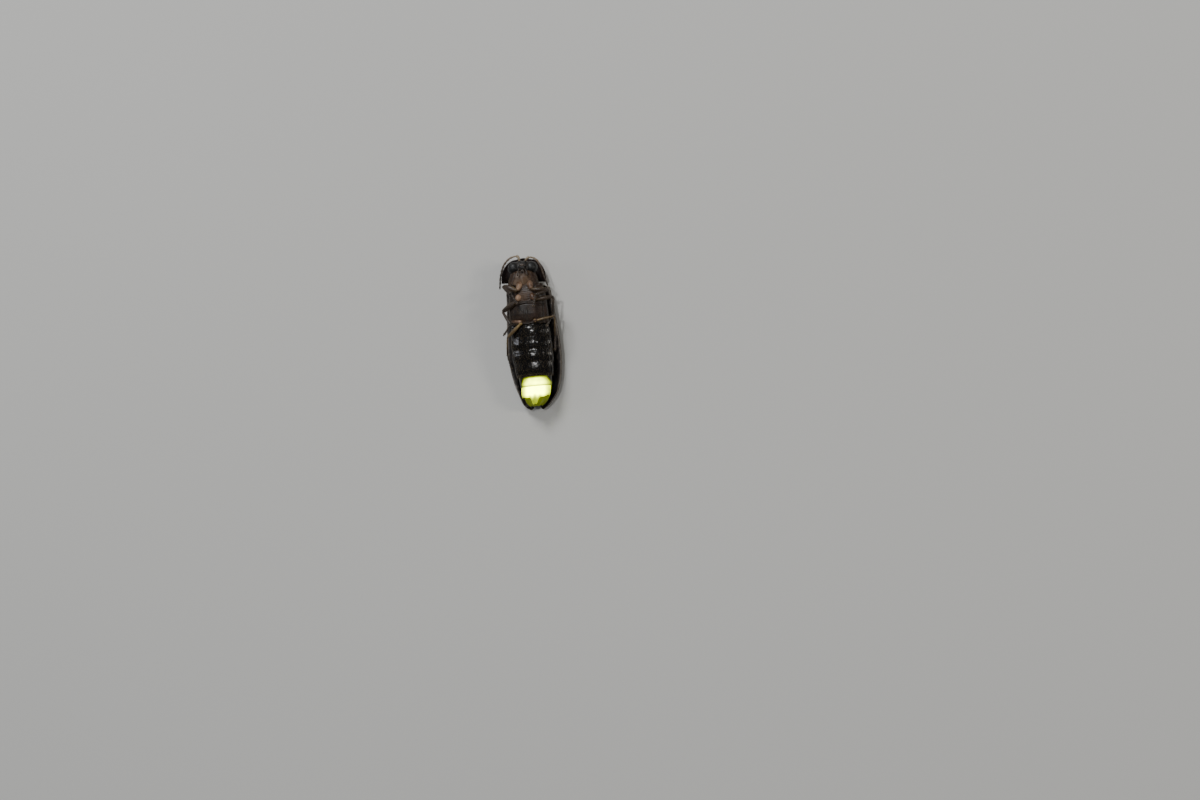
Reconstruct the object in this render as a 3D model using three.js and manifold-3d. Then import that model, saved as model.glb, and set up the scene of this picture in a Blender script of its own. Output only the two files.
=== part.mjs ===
// A male firefly lying on its back, life size, in millimetres.
// X runs across the body, +X to the insect's left. Y runs along it, +Y to the head. Z is up, and the
// belly faces up: the wing cases carry the insect on two flats at the lowest level.
// Each body plate is a solid of its own, with a thin gap to its neighbours.
// Heights are above the surface that the insect lies on. Shares run from 0 to 1, and turns are in radians.

import * as THREE from "three";
import { mergeVertices } from "three/addons/utils/BufferGeometryUtils.js";
import Module from "manifold-3d";

const wasm = await Module();
wasm.setup();

// Driving dimensions.
const GAP = 0.04; // between neighbouring plates
const PLATE = 0.5; // thickness of wing cases and pronotum
const SLIM = 0.23; // radius of a feeler, and of a leg past its knee

const CASE = {
  base: 3.1, // y of the shoulders
  tip: -4.9, // y of the tips
  shoulder: 1.4, // half width of the pair at the shoulders
  widest: 1.7, // half width of the pair past mid length
  widens: { from: -0.1, until: 0.55 }, // shares of the length
  cornerRounding: 0.14, // share of the width lost at the very shoulder
  cornerLength: 0.06,
  taper: { start: 0.52, span: 0.5, power: 2.2, bluntness: 0.55 }, // of the outline to the tip
  rim: 0.9, // height of the side rim above the back
  rimShare: { shoulder: 1.15, tip: 0.62 },
  rimFade: { share: 0.45, from: 0.82 }, // how much lower the rim is at the very tip
  roundness: 2.8, // exponent of the cross-section, 2 for an ellipse
  sink: 0.045, // how far the back would reach below the surface: cut away there, it leaves the flats
  shoulderLift: { height: 0.16, until: 0.14 },
  tipLift: { height: 0.26, from: 0.72, until: 1.05 },
  seam: { height: 0.05, width: 0.35 }, // the raised edge along the middle of the back
  tipGap: { width: 0.08, from: 0.93 }, // how far the tips part
  tipBend: { width: -0.2, from: -3.7, until: -4.9 }, // how far the tips are drawn over in x, by y
  turn: -0.02, // how far the insect's right case stands open
};
const WING = {
  thickness: 0.4,
  from: 0.16, // shares of the wing case's length
  to: 0.82,
  nearSeam: 0.04, // shares of the wing case's width
  reach: 0.64,
  tipReach: 0.3,
  narrowsFrom: 0.55,
};
const SCUTELLUM = { halfWidth: 0.3, tipHalfWidth: 0.09, length: 0.42, bottom: 0.14, top: 0.5, lead: 0.02 };
const PRONOTUM = {
  front: 4.87, // y of the front edge
  length: 1.57,
  halfWidth: 1.46,
  frontShare: 0.985, // of that width, at the front
  frontArc: 1.25, // how far the front edge curves back at the sides
  arcPower: 2.15, // exponent of that curve, 2 for an ellipse
  rearCorner: 0.1, // how far the rear corners reach back
  bottom: 0.14,
  sideRise: { height: 0.62, power: 2.8 },
  frontRise: { height: 0.3, power: 2.4 },
};
// The joint behind the pronotum, and how the fore-body is held on it.
const NECK = { joint: [0, 3.1, 1.2], roll: 0.14, turn: -0.04, shift: [-0.22, 0.1, 0] };
const HEAD = {
  skull: { centre: [0, 4.2, 1.32], half: [0.74, 0.54, 0.5] },
  mouth: { centre: [0, 4.18, 1.72], half: [0.27, 0.27, 0.3] },
  eye: { centre: [0.56, 4.2, 1.34], half: [0.42, 0.42, 0.42] },
  palp: { root: [0.22, 4.1, 1.9], tip: [0.32, 3.72, 2.05], radii: [0.12, 0.14, 0.09] },
};
// The course of each feeler: out past the front of the pronotum and back along its side.
const FEELER_COURSE = {
  left: [
    [0.17, 4.66, 1.45],
    [0.46, 4.86, 1.46],
    [0.9, 4.7, 1.5],
    [1.18, 4.22, 1.6],
    [1.39, 3.55, 1.66],
    [1.58, 2.96, 1.6],
  ],
  right: [
    [0.17, 4.66, 1.45],
    [0.3, 4.96, 1.42],
    [0.78, 4.86, 1.36],
    [1.2, 4.44, 1.33],
    [1.45, 3.75, 1.3],
    [1.56, 2.9, 1.14],
  ],
};
const FEELER_LENGTHS = { base: [0, 0.32], middle: [0.345, 0.66], tip: [0.67, 1] };

// The legs: where each pair leaves the body, its lengths, and how each joint is held on either side.
// A pose is [yaw, pitch] in degrees: yaw from straight out towards the head, pitch above the floor.
const LEGS = {
  fore: {
    hip: [0.34, 3.24, 1.72],
    trochanter: [0.44, 2.84, 2.2],
    hipRadii: [0.26, 0.27, 0.22],
    lengths: { femur: 1.12, tibia: 1.0, tarsus: 0.85 },
    right: { femur: [20, -14], tibia: [-138, 32], tarsus: [-118, 4] },
    left: { femur: [-6, -16], tibia: [-160, 34], tarsus: [-104, 4] },
  },
  middle: {
    hip: [0.42, 2.44, 1.86],
    trochanter: [0.58, 2.16, 2.2],
    hipRadii: [0.26, 0.28, 0.22],
    lengths: { femur: 1.25, tibia: 1.15, tarsus: 1.0 },
    right: { femur: [-28, -16], tibia: [-122, 23], tarsus: [-46, -18] },
    left: { femur: [4, -14], tibia: [-98, -8], tarsus: [-122, 14] },
  },
  hind: {
    hip: [1.1, 0.92, 1.86],
    trochanter: [0.34, 0.8, 2.14],
    hipRadii: [0.2, 0.25, 0.23],
    lengths: { femur: 1.45, tibia: 1.4, tarsus: 1.05 },
    right: { femur: [-39, -5], tibia: [-77, -34], tarsus: [-100, -6] },
    left: { femur: [8, -9], tibia: [-99, -24], tarsus: [-98, -4] },
  },
};
const LIMB_RADII = { femur: [0.2, 0.25, 0.22], tibia: [0.22, SLIM, SLIM], tarsus: [SLIM, SLIM, 0.2] };

// Sections of the trunk: y, half width w, and the heights of the top, the widest line and the bottom.
const THORAX = {
  prothorax: [
    { y: 3.98, w: 0.8, top: 1.74, side: 1.2, bottom: 0.72 },
    { y: 3.14, w: 1.02, top: 1.95, side: 1.3, bottom: 0.72 },
  ],
  mesothorax: [
    { y: 3.08, w: 1.1, top: 2.0, side: 1.45, bottom: 0.9 },
    { y: 2.08, w: 1.24, top: 2.14, side: 1.45, bottom: 1.02 },
  ],
  metathorax: [
    { y: 2.04, w: 1.27, top: 2.18, side: 1.5, bottom: 1.02 },
    { y: 0.68, w: 1.26, top: 2.16, side: 1.5, bottom: 1.02 },
  ],
};
const ABDOMEN = {
  abdomen_segment_2: [
    { y: 0.64, w: 1.2, top: 2.08, side: 1.5, bottom: 1.04 },
    { y: -0.1, w: 1.31, top: 2.12, side: 1.48, bottom: 1.03 },
  ],
  abdomen_segment_3: [
    { y: -0.14, w: 1.28, top: 2.09, side: 1.48, bottom: 1.03 },
    { y: -0.93, w: 1.35, top: 2.11, side: 1.46, bottom: 1.02 },
  ],
  abdomen_segment_4: [
    { y: -0.97, w: 1.32, top: 2.08, side: 1.46, bottom: 1.02 },
    { y: -1.78, w: 1.33, top: 2.05, side: 1.43, bottom: 1.02 },
  ],
  abdomen_segment_5: [
    { y: -1.82, w: 1.29, top: 2.01, side: 1.43, bottom: 1.02 },
    { y: -2.68, w: 1.2, top: 1.93, side: 1.38, bottom: 1.02 },
  ],
  lantern_segment_6: [
    { y: -2.72, w: 1.1, top: 1.87, side: 1.36, bottom: 1.02 },
    { y: -3.33, w: 1.02, top: 1.8, side: 1.32, bottom: 1.04 },
  ],
};
const LANTERN_END = [
  { y: -3.37, w: 0.98, top: 1.76, side: 1.34, bottom: 1.14 },
  { y: -3.71, w: 0.95, top: 1.69, side: 1.33, bottom: 1.145 },
  { y: -4.05, w: 0.9, top: 1.62, side: 1.32, bottom: 1.15 },
  { y: -4.24, w: 0.7, top: 1.5, side: 1.3, bottom: 1.17 },
];
const LANTERN_POINT = { centre: [0, -4.22, 1.33], half: [0.2, 0.36, 0.14] };
const TAIL = [
  { y: -3.42, w: 0.9, top: 1.09, side: 0.95, bottom: 0.78 },
  { y: -4.0, w: 0.84, top: 1.1, side: 0.96, bottom: 0.8 },
  { y: -4.45, w: 0.62, top: 1.12, side: 1.0, bottom: 0.86 },
  { y: -4.72, w: 0.34, top: 1.12, side: 1.03, bottom: 0.94 },
];
const TAIL_BEND = { from: -3.37, slope: 0.14 }; // how the last ring and the tail plate are drawn over in x, by y
const SECTION_ROUNDNESS = 2.4; // exponent of the trunk's cross-section
const TAIL_ROUNDNESS = 2.7;

const SIDES = { left: 1, right: -1 };
const UPRIGHT = new THREE.Vector3(0, 0, 1);
const FORWARD = new THREE.Vector3(0, 1, 0);
const SURFACE_STEP = 1e-3; // share of a surface over which its slope is taken
const ROOM = 30; // edge of the block that stands for all the space above the floor

// How finely each kind of surface is divided.
const FACETS = {
  section: 16,
  ball: [12, 8],
  small: [8, 6],
  limb: [8, 6],
  palp: [6, 6],
  case: [7, 15],
  wing: [3, 9],
  scutellum: [2, 2],
  pronotum: [12, 6],
  feeler: [8, 5],
};

// Colour and roughness of each finish.
const FINISH = {
  case: ["#2b2321", 0.5],
  wing: ["#4a423d", 0.4],
  shield: ["#2a1f20", 0.45],
  head: ["#1c1718", 0.35],
  eye: ["#15161a", 0.2],
  thorax: ["#5a4237", 0.45],
  belly: ["#1d1917", 0.3],
  lantern: ["#eef27a", 0.4],
  hip: ["#a8816c", 0.5],
  leg: ["#6b5145", 0.5],
  foot: ["#3a2e2a", 0.55],
  feeler: ["#4b3a30", 0.6],
};

const mix = THREE.MathUtils.lerp;
const ease = THREE.MathUtils.smoothstep;
const vector = (x, y, z) => new THREE.Vector3(x, y, z);

/** A closed geometry as a solid, with its faces turned outwards. */
function solidOf(geometry) {
  geometry.deleteAttribute("normal");
  geometry.deleteAttribute("uv");
  const merged = mergeVertices(geometry, 1e-5);
  const corners = [];
  for (let i = 0; i < merged.index.count; i += 3) {
    const [a, b, c] = [0, 1, 2].map((k) => merged.index.getX(i + k));
    if (a !== b && b !== c && a !== c) corners.push(a, b, c);
  }
  const vertProperties = new Float32Array(merged.attributes.position.array);
  const make = (order) =>
    new wasm.Manifold(new wasm.Mesh({ numProp: 3, vertProperties, triVerts: new Uint32Array(order) }));
  const made = make(corners);
  return made.volume() > 0 ? made : make(corners.reverse());
}

/** A solid's surface as a geometry. */
function geometryOf(solid) {
  const mesh = solid.getMesh();
  return new THREE.BufferGeometry()
    .setAttribute("position", new THREE.BufferAttribute(mesh.vertProperties, 3))
    .setIndex(new THREE.BufferAttribute(mesh.triVerts, 1));
}

/** A geometry whose points are each moved by a formula. */
function moved(geometry, place) {
  const points = geometry.attributes.position;
  const p = vector(0, 0, 0);
  for (let i = 0; i < points.count; i++) {
    place(p.fromBufferAttribute(points, i));
    points.setXYZ(i, p.x, p.y, p.z);
  }
  return geometry;
}

/** A solid with room cut out of it for others, and without the crumbs that the cuts leave. */
function cleared(solid, others) {
  const bodies = others.reduce((rest, other) => rest.subtract(other), solid).decompose();
  return bodies.reduce((largest, body) => (body.volume() > largest.volume() ? body : largest));
}

/** A solid whose points are each moved by a formula. */
function reshaped(solid, place) {
  return solidOf(moved(geometryOf(solid), place));
}

/** A power that keeps the sign. */
function signedPower(value, power) {
  return Math.sign(value) * Math.abs(value) ** power;
}

/** A body of rounded cross-sections along Y, with flat ends, through a list of sections. */
function loft(sections, roundness = SECTION_ROUNDNESS) {
  const rings = sections.length + 1;
  const ball = new THREE.SphereGeometry(1, FACETS.section, rings);
  return solidOf(
    moved(ball, (p) => {
      const ring = Math.round((Math.acos(THREE.MathUtils.clamp(p.y, -1, 1)) / Math.PI) * rings);
      const s = sections[THREE.MathUtils.clamp(ring - 1, 0, sections.length - 1)];
      const turn = Math.atan2(p.z, p.x);
      const open = ring === 0 || ring === rings ? 0 : 1;
      const rise = signedPower(Math.sin(turn), 2 / roundness) * open;
      const reach = rise > 0 ? s.top - s.side : s.side - s.bottom;
      p.set(s.w * signedPower(Math.cos(turn), 2 / roundness) * open, s.y, s.side + rise * reach);
    }),
  );
}

/** An ellipsoid by its centre and half sizes, grown by a margin, on either side of the body. */
function ellipsoid({ centre, half }, [around, along], grow = 0, side = 1) {
  const middle = vector(side * centre[0], centre[1], centre[2]);
  const size = vector(...half).addScalar(grow);
  return solidOf(moved(new THREE.SphereGeometry(1, around, along), (p) => p.multiply(size).add(middle)));
}

/** A limb between two points, with a radius at its root, middle and tip, and round ends. */
function limb(root, tip, [rootRadius, middleRadius, tipRadius], [around, along] = FACETS.limb) {
  const turn = new THREE.Quaternion().setFromUnitVectors(FORWARD, root.clone().sub(tip).normalize());
  const middle = root.clone().lerp(tip, 0.5);
  const parts = { "-1": [tip, tipRadius], 0: [middle, middleRadius], 1: [root, rootRadius] };
  return solidOf(
    moved(new THREE.SphereGeometry(1, around, along), (p) => {
      const [centre, radius] = parts[Math.abs(p.y) < SURFACE_STEP ? 0 : Math.sign(p.y)];
      p.multiplyScalar(radius).applyQuaternion(turn).add(centre);
    }),
  );
}

/** A slab whose every point is placed by a formula of its shares across, along and deep. */
function slab(place, [across, along]) {
  const box = new THREE.BoxGeometry(1, 1, 1, across, along, 1).translate(0.5, 0.5, 0.5);
  return solidOf(moved(box, (p) => p.copy(place(p.x, p.y, p.z))));
}

/** The point at a depth above a surface(u, v), measured along its upward normal. */
function above(surface, u, v, depth) {
  const [u0, u1] = [Math.max(u - SURFACE_STEP, 0), Math.min(u + SURFACE_STEP, 1)];
  const [v0, v1] = [Math.max(v - SURFACE_STEP, 0), Math.min(v + SURFACE_STEP, 1)];
  const alongU = surface(u1, v).sub(surface(u0, v));
  const alongV = surface(u, v1).sub(surface(u, v0));
  const normal = alongU.cross(alongV).normalize();
  if (normal.z < 0) normal.negate();
  return surface(u, v).addScaledVector(normal, depth);
}

/** Half width of the closed wing cases at a share v of their length. */
function caseHalfWidth(v) {
  const sides = mix(CASE.shoulder, CASE.widest, ease(v, CASE.widens.from, CASE.widens.until));
  const corner = 1 - CASE.cornerRounding * (1 - ease(v, 0, CASE.cornerLength)) ** 2;
  const { start, span, power, bluntness } = CASE.taper;
  const taper = (1 - (Math.max(0, v - start) / span) ** power) ** bluntness;
  return sides * corner * taper;
}

/** The outer surface of a wing case: u from the seam to the side rim, v from the shoulder to the tip. */
function caseSurface(side) {
  const { shoulderLift, tipLift, seam, tipGap, rimShare, rimFade } = CASE;
  const power = 2 / CASE.roundness;
  return (u, v) => {
    const turn = (u * Math.PI) / 2;
    const inner = GAP / 2 + tipGap.width * ease(v, tipGap.from, 1) ** 2;
    const x = mix(inner, caseHalfWidth(v), Math.sin(turn) ** power);
    const front = shoulderLift.height * (1 - ease(v, 0, shoulderLift.until));
    const rear = tipLift.height * ease(v, tipLift.from, tipLift.until);
    const fade = 1 - rimFade.share * ease(v, rimFade.from, 1);
    const rim = CASE.rim * mix(rimShare.shoulder, rimShare.tip, ease(v, 0, 1)) * fade * (1 - Math.cos(turn) ** power);
    const ridge = seam.height * Math.max(0, 1 - x / seam.width) ** 2;
    return vector(side * x, mix(CASE.base, CASE.tip, v), front + rear - CASE.sink + rim + ridge);
  };
}

/** Draws the tip of a wing case, or of what lies in it, over in x, and turns the right-hand one outwards. */
function settled(solid, side) {
  const { width, from, until } = CASE.tipBend;
  const joint = vector(...NECK.joint);
  return reshaped(solid, (p) => {
    p.x += width * ease(-p.y, -from, -until);
    if (side < 0) p.sub(joint).applyAxisAngle(UPRIGHT, CASE.turn).add(joint);
  });
}

/** Draws the tail over in x. */
function bent(solid) {
  return reshaped(solid, (p) => (p.x += TAIL_BEND.slope * Math.min(p.y - TAIL_BEND.from, 0)));
}

/** Rolls, turns and moves a piece of the fore-body on the joint behind the pronotum. */
function aimed(solid) {
  const [joint, shift] = [vector(...NECK.joint), vector(...NECK.shift)];
  return reshaped(solid, (p) => {
    p.sub(joint).applyAxisAngle(FORWARD, NECK.roll).applyAxisAngle(UPRIGHT, NECK.turn).add(joint).add(shift);
  });
}

/** A wing case, cut flat where it rests, or the same thickened inside by a margin to cut room for it. */
function wingCase(side, grow = 0) {
  const surface = caseSurface(side);
  const shell = slab((u, v, depth) => above(surface, u, v, depth * (PLATE + grow)), FACETS.case);
  const middle = side * ((ROOM + GAP) / 2 - grow);
  const ownSide = solidOf(new THREE.BoxGeometry(ROOM, ROOM, ROOM).translate(middle, 0, ROOM / 2));
  return settled(shell.intersect(ownSide), side);
}

/** A folded hind wing, which lies inside its wing case. */
function hindWing(side) {
  const surface = caseSurface(side);
  const place = (u, v, depth) => {
    const reach = mix(WING.reach, WING.tipReach, ease(v, WING.narrowsFrom, 1));
    const height = PLATE + GAP + depth * WING.thickness;
    return above(surface, mix(WING.nearSeam, reach, u), mix(WING.from, WING.to, v), height);
  };
  return settled(slab(place, FACETS.wing), side);
}

/** The small three-cornered plate between the bases of the wing cases, or the same grown by a margin. */
function scutellum(grow = 0) {
  const { halfWidth, tipHalfWidth, length, bottom, top, lead } = SCUTELLUM;
  const place = (u, v, depth) => {
    const half = mix(halfWidth, tipHalfWidth, v) + grow;
    const y = CASE.base + mix(lead + grow, -length - grow, v);
    return vector(mix(-half, half, u), y, mix(bottom - grow, top + grow, depth));
  };
  return slab(place, FACETS.scutellum);
}

/** The neck shield over the head: a plate with an arched front edge and raised sides. */
function pronotum() {
  const P = PRONOTUM;
  const outermost = 1 - SURFACE_STEP / 2;
  const surface = (u, v) => {
    const reach = Math.min(Math.abs(u * 2 - 1), outermost);
    const arc = 1 - (1 - reach ** P.arcPower) ** (1 / P.arcPower);
    const rear = P.front - P.length - P.rearCorner * reach ** 4;
    const sideRise = P.sideRise.height * reach ** P.sideRise.power;
    const frontRise = P.frontRise.height * (1 - v) ** P.frontRise.power;
    const x = mix(-P.halfWidth, P.halfWidth, u) * mix(P.frontShare, 1, v);
    return vector(x, mix(P.front - P.frontArc * arc, rear, v), P.bottom + sideRise + frontRise);
  };
  return aimed(slab((u, v, depth) => above(surface, u, v, depth * PLATE), FACETS.pronotum));
}

/** A round eye at the side of the head, or the same grown by a margin. */
function eye(side, grow = 0) {
  return aimed(ellipsoid(HEAD.eye, FACETS.ball, grow, side));
}

/** The skull with the mouth cone on it, or the same grown by a margin. */
function skull(grow = 0) {
  return aimed(ellipsoid(HEAD.skull, FACETS.ball, grow).add(ellipsoid(HEAD.mouth, FACETS.small, grow)));
}

/** One of the two short palps beside the mouth. */
function palp(side) {
  const [root, tip] = [HEAD.palp.root, HEAD.palp.tip].map(([x, y, z]) => vector(side * x, y, z));
  return aimed(limb(root, tip, HEAD.palp.radii, FACETS.palp));
}

/** A length of feeler between two shares of its course. */
function feeler(sideName, from, to) {
  const [corners, steps] = FACETS.feeler;
  const points = FEELER_COURSE[sideName].map(([x, y, z]) => vector(SIDES[sideName] * x, y, z));
  const course = new THREE.CatmullRomCurve3(points);
  const stops = Array.from({ length: steps }, (_, i) => course.getPointAt(mix(from, to, i / (steps - 1))));
  const extrudePath = new THREE.CatmullRomCurve3(stops);
  const circle = new THREE.EllipseCurve(0, 0, SLIM, SLIM).getPoints(corners).slice(0, corners);
  const options = { steps, bevelEnabled: false, extrudePath };
  return aimed(solidOf(new THREE.ExtrudeGeometry(new THREE.Shape(circle), options)));
}

/** The joints of one leg, from the hip to the claw. */
function legJoints(pair, sideName) {
  const side = SIDES[sideName];
  const leg = LEGS[pair];
  const joints = [leg.hip, leg.trochanter].map(([x, y, z]) => vector(side * x, y, z));
  for (const part of Object.keys(LIMB_RADII)) {
    const [yaw, pitch] = leg[sideName][part].map(THREE.MathUtils.degToRad);
    const out = Math.cos(pitch) * Math.cos(yaw);
    const way = vector(side * out, Math.cos(pitch) * Math.sin(yaw), Math.sin(pitch));
    joints.push(joints.at(-1).clone().addScaledVector(way, leg.lengths[part]));
  }
  return joints;
}

/** One piece of a leg, or the same grown by a margin to cut room for it. */
function legPiece(part, pair, sideName, grow = 0) {
  const parts = ["coxa", ...Object.keys(LIMB_RADII)];
  const [root, tip] = legJoints(pair, sideName).slice(parts.indexOf(part));
  const radii = part === "coxa" ? LEGS[pair].hipRadii : LIMB_RADII[part];
  return limb(root, tip, radii.map((radius) => radius + grow));
}

const firefly = new THREE.Group();

/** Adds a solid as a named mesh, set at its own middle. */
function add(name, solid, [color, roughness]) {
  const geometry = geometryOf(solid);
  geometry.computeBoundingBox();
  const middle = geometry.boundingBox.getCenter(vector(0, 0, 0));
  geometry.translate(...middle.clone().negate());
  const mesh = new THREE.Mesh(geometry, new THREE.MeshStandardMaterial({ color, roughness, metalness: 0 }));
  mesh.name = name;
  mesh.position.copy(middle);
  firefly.add(mesh);
}

// The legs, from the hips outwards, each piece clear of all those nearer to the body.
const LIMB_FINISH = { coxa: FINISH.hip, femur: FINISH.leg, tibia: FINISH.leg, tarsus: FINISH.foot };
const legRoom = [];
for (const [part, finish] of Object.entries(LIMB_FINISH)) {
  const placed = [...legRoom];
  for (const pair of Object.keys(LEGS)) {
    for (const sideName of Object.keys(SIDES)) {
      add(`${part}_${pair}_${sideName}`, cleared(legPiece(part, pair, sideName), placed), finish);
      legRoom.push(legPiece(part, pair, sideName, GAP));
    }
  }
}

// The paired plates, eyes and feelers.
const eyeRoom = Object.values(SIDES).map((side) => eye(side, GAP));
const headRoom = [skull(GAP), ...eyeRoom];
const caseRoom = Object.values(SIDES).map((side) => wingCase(side, GAP));
for (const [sideName, side] of Object.entries(SIDES)) {
  add(`wing_case_${sideName}`, cleared(wingCase(side), [scutellum(GAP)]), FINISH.case);
  add(`hind_wing_${sideName}`, hindWing(side), FINISH.wing);
  add(`eye_${sideName}`, eye(side), FINISH.eye);
  for (const [lengthName, [from, to]] of Object.entries(FEELER_LENGTHS)) {
    add(`feeler_${sideName}_${lengthName}`, cleared(feeler(sideName, from, to), headRoom), FINISH.feeler);
  }
}

// Head, thorax and abdomen.
add("scutellum", scutellum(), FINISH.shield);
add("pronotum", cleared(pronotum(), headRoom), FINISH.shield);
add("head", cleared(skull().add(palp(SIDES.left)).add(palp(SIDES.right)), eyeRoom), FINISH.head);
for (const [name, sections] of Object.entries(THORAX)) {
  const body = name === "prothorax" ? aimed(loft(sections)) : loft(sections);
  add(name, cleared(body, [...legRoom, ...headRoom, ...caseRoom]), FINISH.thorax);
}
for (const [name, sections] of Object.entries(ABDOMEN)) {
  const finish = name.startsWith("lantern") ? FINISH.lantern : FINISH.belly;
  add(name, cleared(loft(sections), legRoom), finish);
}
const lanternPoint = ellipsoid(LANTERN_POINT, FACETS.small);
add("lantern_segment_7", bent(loft(LANTERN_END, TAIL_ROUNDNESS).add(lanternPoint)), FINISH.lantern);
add("tail_plate", bent(loft(TAIL, TAIL_ROUNDNESS)), FINISH.belly);

// The origin is under the middle of the whole model, on the surface that it lies on.
const extent = new THREE.Box3().setFromObject(firefly);
const origin = extent.getCenter(vector(0, 0, 0)).setZ(extent.min.z);
firefly.children.forEach((mesh) => mesh.position.sub(origin));

export default firefly;
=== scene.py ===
"""A male firefly lying on its back, life size, with the lantern at its tail alight.

Sizes are in millimetres, and each mesh is turned into metres as it is made. X runs across the body, +X to the
insect's left, Y along it, +Y to the head, and Z up, out of the belly. Every new skin is a stack of rings.

A relief or a tint is a sum of terms that its docstring names. In a term the first number is its height in
millimetres or its shift of the tint, and those in hump and ease say where it lies and how wide it is.
"""

import logging
import math
from collections.abc import Callable, Sequence
from dataclasses import dataclass
from enum import Enum
from functools import partial

import bpy
import numpy as np
from mathutils import Matrix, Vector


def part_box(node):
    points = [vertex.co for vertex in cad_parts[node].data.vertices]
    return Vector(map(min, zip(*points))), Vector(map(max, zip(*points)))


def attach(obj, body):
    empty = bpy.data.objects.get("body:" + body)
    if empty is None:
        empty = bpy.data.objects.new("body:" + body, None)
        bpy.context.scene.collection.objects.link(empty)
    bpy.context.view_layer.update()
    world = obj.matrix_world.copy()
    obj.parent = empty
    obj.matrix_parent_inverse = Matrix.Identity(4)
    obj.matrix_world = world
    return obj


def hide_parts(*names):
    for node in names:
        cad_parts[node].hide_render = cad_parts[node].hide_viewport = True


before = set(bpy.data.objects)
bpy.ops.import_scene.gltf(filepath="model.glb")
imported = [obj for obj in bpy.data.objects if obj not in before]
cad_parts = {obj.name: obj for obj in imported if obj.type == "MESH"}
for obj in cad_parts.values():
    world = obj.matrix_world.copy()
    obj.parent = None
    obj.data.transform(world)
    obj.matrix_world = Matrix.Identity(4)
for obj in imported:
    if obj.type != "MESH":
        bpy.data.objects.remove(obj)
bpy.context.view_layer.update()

log = logging.getLogger("firefly")
MM = 0.001
TRIANGLE = -1

Array = np.ndarray
Point = tuple[float, float, float]
Placement = Callable[[Array], Array]
Region = Callable[[Array, Array], Array]


class Side(Enum):
    """Which side of the insect a piece is on: the sign of its x."""

    LEFT = 1
    RIGHT = -1

    @property
    def word(self) -> str:
        """The side's name as the pieces spell it."""
        return self.name.lower()

    def mirrored(self, points: Array | Sequence) -> Array:
        """Points of the left side as they lie on this side."""
        return np.array(points) * [self.value, 1, 1]


def mix(first: Array | float, second: Array | float, share: Array | float) -> Array | float:
    """The value at a share of the way from the first to the second."""
    return first + (second - first) * share


def ease(value: Array | float, start: float, end: float) -> Array:
    """A rise from 0 at start to 1 at end, level at both. With end below start it is a fall."""
    share = np.clip((np.asarray(value, float) - start) / (end - start), 0, 1)
    return share * share * (3 - 2 * share)


def hump(value: Array, centre: float, width: float) -> Array:
    """A bell of height 1 about a centre."""
    return np.exp(-(((value - centre) / width) ** 2))


def signed_power(value: Array, power: float) -> Array:
    """A power that keeps the sign."""
    return np.sign(value) * np.abs(value) ** power


def quarter_round(gap: Array) -> Array:
    """The height of a quarter circle, 1 at a gap of 0 and 0 at 1 and beyond."""
    return np.sqrt(np.clip(1 - gap**2, 0, 1))


def unit(vectors: Array) -> Array:
    """Vectors scaled to length 1."""
    return vectors / np.maximum(np.linalg.norm(vectors, axis=-1, keepdims=True), 1e-12)


def ripple(points: Array, period: float, seed: int, waves: int = 7) -> Array:
    """Gentle unevenness from about -1 to 1: the mean of some sine waves that run in random directions.

    Args:
        points: Places in millimetres, with x, y and z last.
        period: Length of a wave in millimetres.
        seed: Picks the directions.
        waves: How many there are.

    Returns:
        One value for each place.
    """
    rng = np.random.default_rng(seed)
    ways = unit(rng.normal(size=(waves, 3))) * (2 * np.pi / period) * rng.uniform(0.7, 1.4, (waves, 1))
    return np.sin(points @ ways.T + rng.uniform(0, 2 * np.pi, waves)).mean(-1) * 1.6


def smooth_path(points: Sequence[Point] | Array, steps: int, fineness: int = 40) -> Array:
    """A smooth path through points, in even steps: each stretch is the cubic that leaves and meets its ends
    along the line between their neighbours.

    Args:
        points: The places that it passes.
        steps: How many places to return.
        fineness: Places for each point before they are evened out.

    Returns:
        The places along it, as rows.
    """
    p = np.asarray(points, float)
    p = np.concatenate([[2 * p[0] - p[1]], p, [2 * p[-1] - p[-2]]])
    t = np.linspace(0, len(points) - 1, fineness * len(points))
    i = np.minimum(t.astype(int), len(points) - 2)
    f = (t - i)[:, None]
    a, b, c, d = p[i], p[i + 1], p[i + 2], p[i + 3]
    fine = 0.5 * (2 * b + (c - a) * f + (2 * a - 5 * b + 4 * c - d) * f**2 + (3 * b - a - 3 * c + d) * f**3)
    gone = np.concatenate([[0], np.cumsum(np.linalg.norm(np.diff(fine, axis=0), axis=1))])
    even = np.linspace(0, gone[-1], steps)
    return np.stack([np.interp(even, gone, fine[:, k]) for k in range(3)], -1)


def sweep(path: Array, radii: Array, around: int = 24, flatness: float = 1.0) -> Array:
    """Carries an oval along a path: at each place the ring lies square to the path.

    Args:
        path: Places along the middle.
        radii: The oval's half width at each of them.
        around: Points in a ring.
        flatness: The oval's half height as a share of its half width.

    Returns:
        The rings, as an array of rings, points and coordinates.
    """
    along = unit(np.gradient(path, axis=0))
    upright = np.eye(3)[np.argmin(np.abs(path[-1] - path[0]))]
    across = unit(np.cross(along, upright))
    over = np.cross(across, along)
    turn = np.linspace(0, 2 * np.pi, around, endpoint=False)[:, None]
    section = np.cos(turn) * across[:, None] + flatness * np.sin(turn) * over[:, None]
    return path[:, None] + radii[:, None, None] * section


def rounded_ends(share: Array, root: float = 0.06, tip: float = 0.06) -> Array:
    """A factor that closes a limb with round ends: a quarter circle over each end's share of its length."""
    start, end = 1 - np.minimum(share / root, 1), 1 - np.minimum((1 - share) / tip, 1)
    return np.maximum(quarter_round(start) * quarter_round(end), 0.01)


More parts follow.
